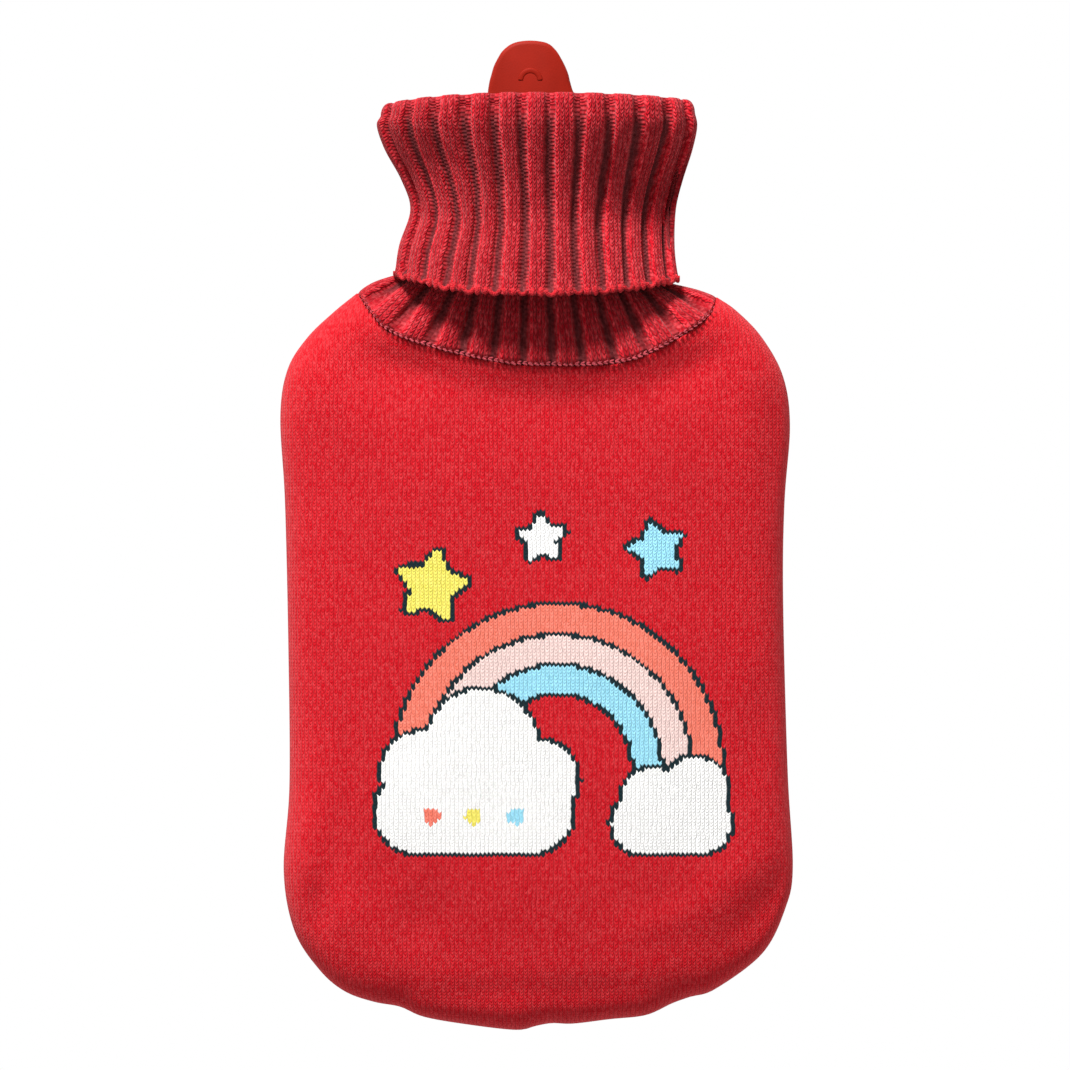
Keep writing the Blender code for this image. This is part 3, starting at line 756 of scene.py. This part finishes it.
def fold_ring(angle):
    """A ring of the fold at the top of the cuff, from its outer face at angle 0 to its inner face at pi."""
    points, outward = section(*CUFF[-1])
    half = COLLAR_WALL / 2
    to_inside = (1 - cos(angle)) / 2
    relief = outer_relief(FOLD_RELIEF + (1 - FOLD_RELIEF) * abs(cos(angle)))
    relief = relief * (1 - to_inside) + inner_relief() * to_inside
    ring = points - outward * half + outward * ((half - relief) * cos(angle))[:, None]
    ring[:, 1] += (FOLD_HEIGHT - relief) * sin(angle)
    return ring


def inner_relief():
    """How far the collar's inner face lies below its own ribs, which are behind the outer face's valleys."""
    return INNER_RELIEF * (1 - VALLEY)


def collar_rings():
    """The rings of the collar's closed sheet: up the outside of the inner layer, back down inside the cuff,
    up the cuff's outer face, over the fold, and down the inside of the collar."""
    cuff = [section(*row) for row in smooth_line(CUFF, ROWS_PER_SECTION)]
    hidden = [section(*row) for row in smooth_line(CUFF[2:], HIDDEN_STEPS)]
    throat = section(*THROAT, THROAT_BACK)
    under = RIB_CLOTH + LAYER_GAP
    rings = [root_ring(step**ROOT_SPACING, True) for step in np.arange(ROOT_ROWS) / ROOT_ROWS]
    rings.append(inset(throat, outer_relief()))
    rings += [inset(pair, under + outer_relief()) for pair in hidden]
    hollow = inset(cuff[-1], COLLAR_WALL / 2)
    hollow[:, 1] += FOLD_HEIGHT * FOLD_HOLLOW
    rings.append(hollow)
    rings += [inset(pair, RIB_CLOTH) for pair in hidden[::-1]]
    for depth, rise in HEM_ROUNDING:
        ring = inset(cuff[0], depth * RIB_CLOTH)
        ring[:, 1] += rise + HEM_SCALLOP * VALLEY
        rings.append(ring)
    for pair in cuff[1:]:
        above_hem = np.linalg.norm(pair[0] - cuff[0][0], axis=1)
        relief = HEM_RELIEF + (1 - HEM_RELIEF) * ease((above_hem - HEM_BAND_START) / HEM_BAND)
        rings.append(inset(pair, outer_relief(relief)))
    rings += [fold_ring(pi * k / FOLD_ROWS) for k in range(1, FOLD_ROWS)]
    rings += [inset(pair, COLLAR_WALL - inner_relief()) for pair in hidden[::-1]]
    rings.append(inset(throat, RIB_CLOTH))
    rings += [root_ring(step, False) for step in ROOT_INSIDE]
    return rings


def collar(material):
    """The roll collar, as one closed ring-shaped sheet of ribbed knit."""
    rings = np.array(collar_rings())
    rings = np.concatenate([rings, rings[:1]])
    rings = np.concatenate([rings, rings[:, :1]], axis=1)
    wales = np.append(RIB_STITCHES, RIBS * RIB_WALES)
    between = np.linalg.norm(np.diff(rings, axis=0), axis=2).mean(axis=1)
    courses = np.concatenate([[0.0], np.cumsum(between)]) / RIB_COURSE
    stitches = np.stack(np.broadcast_arrays(wales[None, :], courses[:, None]), axis=2)
    bm = cloth_grid(rings, stitches)
    turn_faces_out(bm)
    return add_piece("rib_collar", bm, material, "neck_rib")


def add_bead(bm, scratch, matrix):
    """Adds one rounded bead of yarn to the bmesh."""
    bead = bmesh.new()
    bmesh.ops.create_uvsphere(bead, u_segments=8, v_segments=6, radius=1.0, matrix=matrix)
    bead.to_mesh(scratch)
    bead.free()
    bm.from_mesh(scratch)


def add_half_ring(bm, scratch, radius, wire, steps, matrix):
    """Adds half a ring of round wire to the bmesh. It opens upwards, towards +Y of the matrix."""
    ring = bmesh.new()
    made = bmesh.ops.create_circle(ring, cap_ends=True, segments=8, radius=wire)
    bmesh.ops.rotate(ring, verts=made["verts"], cent=(0, 0, 0), matrix=Matrix.Rotation(pi / 2, 3, "X"))
    bmesh.ops.translate(ring, verts=made["verts"], vec=(-radius, 0.0, 0.0))
    whole = ring.verts[:] + ring.edges[:] + ring.faces[:]
    bmesh.ops.spin(ring, geom=whole, cent=(0, 0, 0), axis=(0, 0, 1), angle=pi, steps=steps)
    bmesh.ops.remove_doubles(ring, verts=ring.verts, dist=1e-4)
    bmesh.ops.transform(ring, matrix=matrix, verts=ring.verts)
    turn_faces_out(ring)
    ring.to_mesh(scratch)
    ring.free()
    bm.from_mesh(scratch)


def chain(name, line, normals, sizes, material, slot, sunk=0.0, taper=0.0):
    """A chain of stitches lying along a line: each is two fat legs that open towards the next stitch. The leg
    next to the collar is sunk by so much, and the taper says how much smaller the last stitches are."""
    stitch, yarn, apart = sizes
    lengths = lengths_along(line)
    count = int(lengths[-1] / stitch)
    where = (np.arange(count) + 0.5) * lengths[-1] / count
    places = at_lengths(np.column_stack([line, normals]), where, slice(0, 3))
    tangents = unit(at_lengths(line, where + CHAIN_REACH) - at_lengths(line, where - CHAIN_REACH))
    bm = bmesh.new()
    bead = bpy.data.meshes.new("bead")
    uneven = np.random.RandomState(7)
    for step, place, tangent in zip(where / lengths[-1], places, tangents):
        share = 1 - taper * abs(2 * step - 1) ** TAPER_START
        along = Vector(tangent)
        up = Vector(place[3:])
        up = (up - along * up.dot(along)).normalized()
        across = up.cross(along)
        for hand in (-1, 1):
            size = share * (1 + UNEVEN * uneven.uniform(-1, 1))
            lean = (along + across * hand * CHAIN_LEAN * size).normalized()
            turned = Matrix((lean, up.cross(lean), up)).transposed().to_4x4()
            sized = Matrix.Diagonal((size * stitch * CHAIN_LEG, size * yarn / 2, share * yarn / 2, 1.0))
            centre = Vector(place[:3]) + across * (hand * apart / 2)
            if hand > 0:
                centre -= up * sunk
            add_bead(bm, bead, Matrix.Translation(centre) @ turned @ sized)
    return add_piece(name, bm, material)


def hem_loops(material):
    """The cast-off edge of the hem: a loop of yarn under each valley, and knuckles at the end of each rib."""
    hem, outward = section(*CUFF[0])
    above, _ = section(*CUFF[1])
    tangent = unit(np.roll(hem, -1, axis=0) - np.roll(hem, 1, axis=0))
    bm = bmesh.new()
    scratch = bpy.data.meshes.new("loop")
    uneven = np.random.RandomState(11)
    for point in range(0, len(hem), STEPS_PER_RIB):
        for step in (0, *KNUCKLES):
            k = point + step
            across, out = Vector(tangent[k]), Vector(outward[k])
            up = out.cross(across)
            if up.dot(Vector(above[k] - hem[k])) < 0:
                up.negate()
            turned = Matrix((across, up, across.cross(up))).transposed().to_4x4()
            size = 1 + UNEVEN * uneven.uniform(-1, 1)
            if step == 0:
                centre = Vector(hem[k]) + up * LOOP_RISE - out * LOOP_WIRE
                sized = Matrix.Diagonal((size, size, 1.0, 1.0))
                matrix = Matrix.Translation(centre) @ turned @ sized
                add_half_ring(bm, scratch, LOOP_RADIUS, LOOP_WIRE, LOOP_STEPS, matrix)
            else:
                centre = Vector(hem[k]) + up * KNUCKLE_RISE - out * KNUCKLE_DEPTH
                sized = Matrix.Diagonal((*[size * half for half in KNUCKLE_SIZE], 1.0))
                add_bead(bm, scratch, Matrix.Translation(centre) @ turned @ sized)
    return add_piece("hem_loops", bm, material)


def neckline_chains(material):
    """The linked seam on the front and on the back of the neckline."""
    points, normals, away = root_line()
    half = len(points) // 2
    chains = []
    for name, start, rise in zip(("front_chain", "back_chain"), (0, half), CHAIN_RISE):
        part = slice(start + CHAIN_END, start + half - CHAIN_END)
        line = points[part] + normals[part] * rise + away[part] * CHAIN_SHIFT
        look = (LINKING_CHAIN, material, "rib_knit")
        chains.append(chain(name, line, normals[part], *look, SUNK_LEG, CHAIN_TAPER))
    return chains


def side_seam_chain(material):
    """The linked seam round the body's sides and its bottom."""
    _, to_edge = nearest_edge(OUTLINE_LINE)
    flat_line = OUTLINE_LINE - to_edge * (PINCH + SIDE_CHAIN_DEPTH)
    line = np.column_stack([flat_line, np.full(len(flat_line), SEAM_Z)])
    out = np.column_stack([to_edge, np.zeros(len(flat_line))])
    return chain("side_chain", line, out, SIDE_CHAIN, material, "body_knit")


# Shape of the bottle neck

TAB_LINE = at_fractions(smooth_line(TAB), np.arange(TAB_STEPS) / (TAB_STEPS - 1))


def neck_section(half_width, z_front, z_back, wall):
    """A section of the bottle neck: an oval pressed flat at the back, then the points of the flat, left to
    right. The wall shrinks it on all sides."""
    half_width, z_front, z_back = half_width - wall, z_front - wall, z_back + wall
    flat = min(TAB_HALF, FLAT_SHARE * half_width)
    middle, rise = (z_front + z_back) / 2, (z_front - z_back) / 2
    start = -np.arccos(flat / half_width)
    turns = [(cos(a), sin(a)) for a in np.linspace(start, pi - start, NECK_STEPS)]
    points = [(half_width * c, middle + rise * (s if s > 0 else s / -sin(start))) for c, s in turns]
    narrow = flat / TAB_HALF
    points += [(narrow * x, z_back) for x, _ in TAB_LINE]
    return np.array(points)


def rubber_neck(material):
    """The rubber neck: an open flared tube whose back wall runs up into the hanging tab."""
    rim_y = np.concatenate([np.full(NECK_STEPS, RIM_Y), RIM_Y + TAB_LINE[:, 1]])
    slope = unit(np.gradient(TAB_LINE, axis=0))
    beyond = np.column_stack([-slope[:, 1], slope[:, 0]])
    rim_out = np.concatenate([np.tile((0.0, 1.0), (NECK_STEPS, 1)), beyond])
    outside, inside = ([neck_section(*row[1:], NECK_SEAT, wall) for row in NECK] for wall in (0.0, RUBBER))
    outer, inner = outside[-1], inside[-1]
    rings = [np.insert(points, 1, row[0], axis=1) for points, row in zip(outside[:-1], NECK)]
    for k in range(EDGE_STEPS + 1):
        angle = pi * (k / EDGE_STEPS - 0.5)
        share = (1 + sin(angle)) / 2
        back = RUBBER / 2 * (1 - cos(angle))
        x, z = (outer * (1 - share) + inner * share).T
        rings.append(np.column_stack([x - rim_out[:, 0] * back, rim_y - rim_out[:, 1] * back, z]))
    rings += [np.insert(points, 1, row[0], axis=1) for points, row in zip(inside[-2::-1], NECK[-2::-1])]
    rings = np.array(rings + rings[:1])
    rings = np.concatenate([rings, rings[:, :1]], axis=1)
    bm = cloth_grid(rings, np.zeros((*rings.shape[:2], 2)))
    turn_faces_out(bm)
    return add_piece("rubber_neck", bm, material, "bottle_mouth")


def tab_ring(material):
    """The half ring moulded on the tab's front, sunk into it by half."""
    bm = bmesh.new()
    place = Matrix.Translation((*RING_PLACE, NECK_SEAT + RUBBER)) @ Matrix.Rotation(pi, 4, "Z")
    flattened = Matrix.Diagonal((1.0, 1.0, RING_RELIEF, 1.0))
    add_half_ring(bm, bpy.data.meshes.new("ring"), RING_RADIUS, RING_WIRE, RING_STEPS, place @ flattened)
    return add_piece("tab_ring", bm, material)


# Materials

MATH, VECTOR = "ShaderNodeMath", "ShaderNodeVectorMath"
RANGE, MIX, HUE = "ShaderNodeMapRange", "ShaderNodeMix", "ShaderNodeHueSaturation"

# A point's place in the knitting: the stitches counted across and up, as a vector and as two numbers, how far
# it is from its stitch's middle and how far along it, both from 0 to 1, and the stitch's own column and row
Stitch = namedtuple("Stitch", "counted wale course from_middle along column row")


def srgb(code):
    """An sRGB hex value as a linear colour."""
    channels = [int(code[k : k + 2], 16) / 255 for k in (1, 3, 5)]
    return (*[c / 12.92 if c <= 0.04045 else ((c + 0.055) / 1.055) ** 2.4 for c in channels], 1.0)


def new_material(name):
    made = bpy.data.materials.new(name)
    made.use_nodes = True
    made.node_tree.nodes.clear()
    return made, made.node_tree


def node(tree, kind, inputs=(), **settings):
    """Adds a node with its settings. Its inputs are in order or by name: each a value, or a node to link."""
    made = tree.nodes.new(kind)
    for name, value in settings.items():
        setattr(made, name, value)
    by_name = isinstance(inputs, dict)
    shown = [socket for socket in made.inputs if socket.enabled]
    for socket, value in inputs.items() if by_name else zip(shown, inputs):
        socket = made.inputs[socket] if by_name else socket
        if isinstance(value, bpy.types.Node):
            value = next(out for out in value.outputs if out.enabled)
        if isinstance(value, bpy.types.NodeSocket):
            tree.links.new(value, socket)
        elif value is not None:
            socket.default_value = value
    return made


def stitch_place(tree):
    """Where a point is in the knitting. A row's lower end is a V, so two colours meet in the teeth of real
    knitting."""
    counted = node(tree, "ShaderNodeUVMap", uv_map="stitches")
    cloudy = node(tree, "ShaderNodeTexNoise", {"Vector": counted, "Scale": UNEVEN_WAVES, "Detail": 1.0})
    reach = [cloudy.outputs["Color"], (UNEVEN_STITCHES,) * 3, (-UNEVEN_STITCHES / 2,) * 3]
    shift = node(tree, VECTOR, reach, operation="MULTIPLY_ADD")
    counted = node(tree, VECTOR, [counted, shift], operation="ADD")
    wale, course, _ = node(tree, "ShaderNodeSeparateXYZ", [counted]).outputs
    across = node(tree, MATH, [wale], operation="FRACT")
    doubled = node(tree, MATH, [across, 2.0, -1.0], operation="MULTIPLY_ADD")
    from_middle = node(tree, MATH, [doubled], operation="ABSOLUTE")
    lifted = node(tree, MATH, [from_middle, -V_SLANT, course], operation="MULTIPLY_ADD")
    along = node(tree, MATH, [lifted], operation="FRACT")
    column = node(tree, MATH, [wale], operation="FLOOR")
    row = node(tree, MATH, [lifted], operation="FLOOR")
    return Stitch(counted, wale, course, from_middle, along, column, row)


def knit_height(tree, stitch):
    """Height of plain knitting: two slanting legs to a stitch, a line between the columns, and a small dark
    hole where one V stands in the next."""
    edge = node(tree, MATH, [stitch.from_middle, WALE_LINE], operation="POWER")
    leg = node(tree, MATH, [1.0, edge], operation="SUBTRACT")
    turn = node(tree, MATH, [stitch.along, pi], operation="MULTIPLY")
    bead = node(tree, MATH, [turn], operation="SINE")
    inner = node(tree, MATH, [1.0, stitch.from_middle], operation="SUBTRACT")
    inner = node(tree, MATH, [inner, HOLE_NARROWNESS], operation="POWER")
    open_end = node(tree, MATH, [1.0, bead], operation="SUBTRACT")
    hole = node(tree, MATH, [inner, open_end], operation="MULTIPLY")
    hole = node(tree, MATH, [hole, -HOLE_DEPTH, 1.0], operation="MULTIPLY_ADD")
    bead = node(tree, MATH, [bead, LEG_ROUNDING, 1 - LEG_ROUNDING], operation="MULTIPLY_ADD")
    solid = node(tree, MATH, [leg, hole], operation="MULTIPLY")
    return node(tree, MATH, [solid, bead], operation="MULTIPLY")


def purl_height(tree, stitch):
    """Height of the purl stitches in a valley: bars across, each half a row out of step with the next."""
    shifted = node(tree, MATH, [stitch.column, 0.5, stitch.course], operation="MULTIPLY_ADD")
    turn = node(tree, MATH, [shifted, tau], operation="MULTIPLY")
    bar = node(tree, MATH, [turn], operation="SINE")
    return node(tree, MATH, [bar, PURL_RELIEF, PURL_HEIGHT], operation="MULTIPLY_ADD")


def each_leg(tree, stitch):
    """A random number for each of a stitch's two legs."""
    doubled = node(tree, MATH, [stitch.wale, 2.0], operation="MULTIPLY")
    leg = node(tree, MATH, [doubled], operation="FLOOR")
    place = node(tree, "ShaderNodeCombineXYZ", [leg, stitch.row, 0.0])
    return node(tree, "ShaderNodeTexWhiteNoise", [place], noise_dimensions="2D").outputs["Value"]


def noise(tree, where, scale, detail=2.0):
    """Cloudy noise that fills the whole range from 0 to 1. The scale is one number, or one for each axis."""
    if isinstance(scale, tuple):
        where = node(tree, "ShaderNodeMapping", [where, None, None, scale])
        scale = 1.0
    cloudy = node(tree, "ShaderNodeTexNoise", {"Vector": where, "Scale": scale, "Detail": detail})
    return node(tree, RANGE, [cloudy.outputs[0], 0.3, 0.7, 0.0, 1.0])


def brightened(tree, colour, amount, low, high, fade):
    """The colour, darker and richer where the amount is 0, lighter and paler where it is 1."""
    value = node(tree, RANGE, [amount, 0.0, 1.0, low, high])
    saturation = node(tree, RANGE, [amount, 0.0, 1.0, 1 + fade, 1 - fade])
    return node(tree, HUE, {"Saturation": saturation, "Value": value, "Color": colour})


def yarn_finish(tree, colour, height, relief):
    """Woolly acrylic yarn: rough, with the soft rim that loose fibres give, over a bump of its stitches."""
    bump = node(tree, "ShaderNodeBump", {"Height": height, "Strength": 1.0, "Distance": relief * MM})
    finish = {
        "Base Color": colour,
        "Normal": bump,
        "Roughness": 0.9,
        "IOR": 1.49,
        "Specular IOR Level": 0.2,
        "Sheen Weight": 0.12,
        "Sheen Roughness": 0.45,
        "Sheen Tint": srgb(FIBRE_GLOW),
    }
    node(tree, "ShaderNodeOutputMaterial", [node(tree, "ShaderNodeBsdfPrincipled", finish)])


def painted(tree, ground, distance, code, inked=True):
    """The ground with one shape over it: its colour, and the dark line that follows its edge."""
    line = INK_LINE / 2 if inked else 0.0
    if inked:
        near = node(tree, MATH, [distance, line], operation="LESS_THAN")
        ground = node(tree, MIX, [near, ground, srgb(INK)], data_type="RGBA")
    within = node(tree, MATH, [distance, -line], operation="LESS_THAN")
    return node(tree, MIX, [within, ground, srgb(code)], data_type="RGBA")


def from_point(tree, place, x, y):
    """Distance from a point, and the offset from it as two sockets."""
    offset = node(tree, VECTOR, [place, (x, y, 0.0)], operation="SUBTRACT")
    length = node(tree, VECTOR, [offset], operation="LENGTH").outputs["Value"]
    right, up, _ = node(tree, "ShaderNodeSeparateXYZ", [offset]).outputs
    return length, right, up


def disc_distance(tree, place, x, y, radius):
    """Distance outside a disc."""
    return node(tree, MATH, [from_point(tree, place, x, y)[0], radius], operation="SUBTRACT")


def star_distance(tree, place, x, y, radius, turn, notch):
    """Distance outside a five-pointed star with blunt points. The angle is folded onto one of its edges."""
    fifth = pi / 5
    edge_x, edge_y = notch * sin(fifth), 1 - notch * cos(fifth)
    length, right, up = from_point(tree, place, x, y)
    angle = node(tree, MATH, [up, right], operation="ARCTAN2")
    turned = node(tree, MATH, [angle, tau - radians(90 + turn)], operation="ADD")
    folded = node(tree, MATH, [turned, fifth], operation="PINGPONG")
    leaned = node(tree, MATH, [folded, atan2(edge_y, edge_x)], operation="SUBTRACT")
    share = node(tree, MATH, [leaned], operation="COSINE")
    along = node(tree, MATH, [share, length], operation="MULTIPLY")
    past_edge = node(tree, MATH, [along, radius * edge_x / hypot(edge_x, edge_y)], operation="SUBTRACT")
    past_point = node(tree, MATH, [length, radius * STAR_BLUNTNESS], operation="SUBTRACT")
    return node(tree, MATH, [past_edge, past_point], operation="MAXIMUM")


def band_distance(tree, place, inner, outer):
    """Distance outside one band of the rainbow."""
    length, _, up = from_point(tree, place, *RAINBOW_CENTRE)
    from_middle = node(tree, MATH, [length, (inner + outer) / 2], operation="SUBTRACT")
    away = node(tree, MATH, [from_middle], operation="ABSOLUTE")
    aside = node(tree, MATH, [away, (outer - inner) / 2], operation="SUBTRACT")
    below = node(tree, MATH, [RAINBOW_FOOT - RAINBOW_CENTRE[1], up], operation="SUBTRACT")
    return node(tree, MATH, [aside, below], operation="MAXIMUM")


def cloud_distance(tree, place, bar, puffs):
    """Distance outside a cloud."""
    left, bar_y, right, bar_radius = bar
    x = node(tree, "ShaderNodeSeparateXYZ", [place]).outputs[0]
    nearest_x = node(tree, "ShaderNodeClamp", [x, left, right])
    nearest = node(tree, "ShaderNodeCombineXYZ", [nearest_x, bar_y, 0.0])
    offset = node(tree, VECTOR, [place, nearest], operation="SUBTRACT")
    length = node(tree, VECTOR, [offset], operation="LENGTH").outputs["Value"]
    outside = node(tree, MATH, [length, bar_radius], operation="SUBTRACT")
    for puff in puffs:
        outside = node(tree, MATH, [outside, disc_distance(tree, place, *puff)], operation="MINIMUM")
    return outside


def rainbow_picture(tree, ground, stitch):
    """The knitted-in design. Each stitch takes the colour at its own middle."""
    x = node(tree, MATH, [stitch.column, WALE, WALE / 2], operation="MULTIPLY_ADD")
    y = node(tree, MATH, [stitch.row, COURSE, COURSE / 2], operation="MULTIPLY_ADD")
    place = node(tree, "ShaderNodeCombineXYZ", [x, y, 0.0])
    colour = ground
    for inner, outer, code in RAINBOW:
        colour = painted(tree, colour, band_distance(tree, place, inner, outer), code)
    for bar, puffs in CLOUDS:
        colour = painted(tree, colour, cloud_distance(tree, place, bar, puffs), WHITE)
    for *shape, code in STARS:
        colour = painted(tree, colour, star_distance(tree, place, *shape), code)
    for *shape, code in DOTS:
        colour = painted(tree, colour, disc_distance(tree, place, *shape), code, inked=False)
    return colour


def plain_knit(name, colour, picture=False):
    """Acrylic yarn in plain knitting: columns of small V stitches with a dull, slightly hairy face."""
    made, tree = new_material(name)
    stitch = stitch_place(tree)
    height = knit_height(tree, stitch)
    shade = srgb(colour)
    if picture:
        shade = rainbow_picture(tree, shade, stitch)
    shade = brightened(tree, shade, each_leg(tree, stitch), *BODY_LEGS)
    shade = brightened(tree, shade, noise(tree, stitch.counted, BODY_STREAK, 1.0), *BODY_STREAKS)
    shade = brightened(tree, shade, noise(tree, stitch.counted, BODY_CLOUD), *BODY_CLOUDS)
    # painted shade in the gaps between stitches
    shade = brightened(tree, shade, height, *BODY_GAP_SHADE)
    yarn_finish(tree, shade, height, BODY_RELIEF)
    return made


def out_of_shade(tree, stitch, from_rib):
    """How far the collar's yarn is out of the valleys' shade: wholly on the ribs, and in part where light
    gets into the valleys."""
    softly = {"interpolation_type": "SMOOTHSTEP"}
    on_rib = node(tree, RANGE, [from_rib, *VALLEY_SHADE, 0.0, 1.0], **softly)
    where = node(tree, "ShaderNodeTexCoord").outputs["Object"]
    sideways, upwards, _ = node(tree, "ShaderNodeSeparateXYZ", [where]).outputs
    at_fold = node(tree, RANGE, [upwards, *(y * MM for y in FOLD_LIGHT), 0.0, LESS_SHADE], **softly)
    at_seam = node(tree, RANGE, [stitch.course, *SEAM_LIGHT, LESS_SHADE, 0.0], **softly)
    from_middle = node(tree, MATH, [sideways], operation="ABSOLUTE")
    at_side = node(tree, RANGE, [from_middle, *(x * MM for x in SIDE_LIGHT), 0.0, 1.0])
    at_ends = node(tree, MATH, [at_seam, at_side], operation="MULTIPLY")
    lit = node(tree, MATH, [at_fold, at_ends], operation="MAXIMUM")
    return node(tree, MATH, [on_rib, lit], operation="MAXIMUM")


def rib_knit(name, colour):
    """The same yarn in ribs of four knit stitches and two purl ones: V stitches on the ribs, and small bars
    in the valleys, where little light falls and the yarn looks nearly brown."""
    made, tree = new_material(name)
    stitch = stitch_place(tree)
    share = node(tree, MATH, [stitch.wale, 1 / RIB_WALES], operation="MULTIPLY")
    share = node(tree, MATH, [share], operation="FRACT")
    aside = node(tree, MATH, [share, 0.5], operation="SUBTRACT")
    from_rib = node(tree, MATH, [aside], operation="ABSOLUTE")
    valley = node(tree, MATH, [from_rib, KNIT_WALES / RIB_WALES / 2], operation="GREATER_THAN")
    height = node(tree, MIX, [valley, knit_height(tree, stitch), purl_height(tree, stitch)])
    lit = out_of_shade(tree, stitch, from_rib)
    shade = node(tree, MIX, [lit, srgb(VALLEY_RED), srgb(colour)], data_type="RGBA")
    shade = brightened(tree, shade, each_leg(tree, stitch), *RIB_LEGS)
    side = node(tree, RANGE, [share, *LIT_SIDE, *LIT_SIDE_LIGHT])
    shade = node(tree, HUE, {"Value": side, "Color": shade})
    shade = brightened(tree, shade, noise(tree, stitch.counted, RIB_STREAK, 1.0), *RIB_STREAKS)
    # painted shade in the gaps between stitches, on the ribs and in the valleys
    gaps = [node(tree, RANGE, [height, 0.0, 1.0, *brightness]) for brightness in (RIB_GAP_SHADE, PURL_GAP_SHADE)]
    shade = node(tree, HUE, {"Value": node(tree, MIX, [valley, *gaps]), "Color": shade})
    yarn_finish(tree, shade, height, RIB_RELIEF)
    return made


def linking_yarn(name, colour):
    """One loose strand of the yarn, pulled into loops: it shows its fibres but no stitches of its own."""
    made, tree = new_material(name)
    where = node(tree, "ShaderNodeTexCoord").outputs["Object"]
    fibres = noise(tree, where, 1 / (FIBRE * MM))
    shade = brightened(tree, srgb(colour), fibres, *FIBRE_SHADES)
    shade = brightened(tree, shade, noise(tree, where, 1 / (SLUB * MM)), *SLUB_SHADES)
    yarn_finish(tree, shade, fibres, FIBRE_RELIEF)
    return made


def moulded_rubber(name):
    """Natural rubber, moulded: a dull, even skin that a little bloom has clouded."""
    made, tree = new_material(name)
    where = node(tree, "ShaderNodeTexCoord").outputs["Object"]
    shade = brightened(tree, srgb(RUBBER_RED), noise(tree, where, 1 / (BLOOM * MM)), *BLOOM_SHADES)
    grit = noise(tree, where, 1 / (GRIT * MM), 1.0)
    bump = node(tree, "ShaderNodeBump", {"Height": grit, "Strength": 1.0, "Distance": GRIT_RELIEF * MM})
    finish = {"Base Color": shade, "Normal": bump, "Roughness": 0.55, "IOR": 1.52, "Specular IOR Level": 0.1}
    node(tree, "ShaderNodeOutputMaterial", [node(tree, "ShaderNodeBsdfPrincipled", finish)])
    return made


# The pieces


def build():
    """Every piece with its material."""
    front = panel("front", plain_knit("acrylic knit, jacquard", BODY_RED, picture=True))
    back = panel("back", plain_knit("acrylic knit, plain", BODY_RED))
    # the collar's darker red is painted shade for its thick ribbed cloth
    roll = collar(rib_knit("acrylic knit, ribbed", SHADED_COLLAR_RED))
    linked = linking_yarn("acrylic yarn, linked", LINKED_RED)
    loops = hem_loops(linking_yarn("acrylic yarn, cast off", CAST_OFF_RED))
    root_chains = neckline_chains(linked)
    side_chain = side_seam_chain(linked)
    rubber = moulded_rubber("rubber, moulded")
    rubber_neck(rubber)
    tab_ring(rubber)


def studio():
    """A white light table, a soft window from the upper left, and the camera straight above."""
    scene = bpy.context.scene
    scene.view_settings.view_transform = "Standard"
    bm = bmesh.new()
    bmesh.ops.create_grid(bm, x_segments=1, y_segments=1, size=TABLE_REACH)
    mesh = bpy.data.meshes.new("floor")
    bm.to_mesh(mesh)
    bm.free()
    made, tree = new_material("light table, opal")
    node(tree, "ShaderNodeOutputMaterial", [node(tree, "ShaderNodeEmission", [srgb("#FFFFFF"), 1.0])])
    mesh.materials.append(made)
    floor = bpy.data.objects.new("floor", mesh)
    scene.collection.objects.link(floor)

    world = bpy.data.worlds.new("studio")
    world.use_nodes = True
    room = world.node_tree.nodes["Background"].inputs
    room["Color"].default_value = srgb("#FFFFFF")
    room["Strength"].default_value = ROOM_LIGHT
    scene.world = world

    light = bpy.data.lights.new("window", "AREA")
    light.shape = "DISK"
    light.size = WINDOW_SIZE
    light.energy = WINDOW_POWER
    lamp = bpy.data.objects.new("window", light)
    lamp.location = WINDOW_PLACE
    lamp.rotation_euler = Vector(lamp.location).to_track_quat("Z", "Y").to_euler()
    scene.collection.objects.link(lamp)

    data = bpy.data.cameras.new("camera")
    data.sensor_width = 36.0
    data.lens = data.sensor_width * CAMERA_DISTANCE / FRAME_WIDTH
    data.clip_start, data.clip_end = 0.1, 20.0
    camera = bpy.data.objects.new("camera", data)
    camera.location = Vector(FRAME_CENTRE) + Vector((0.0, 0.0, CAMERA_DISTANCE))
    scene.collection.objects.link(camera)
    scene.camera = camera


build()
studio()
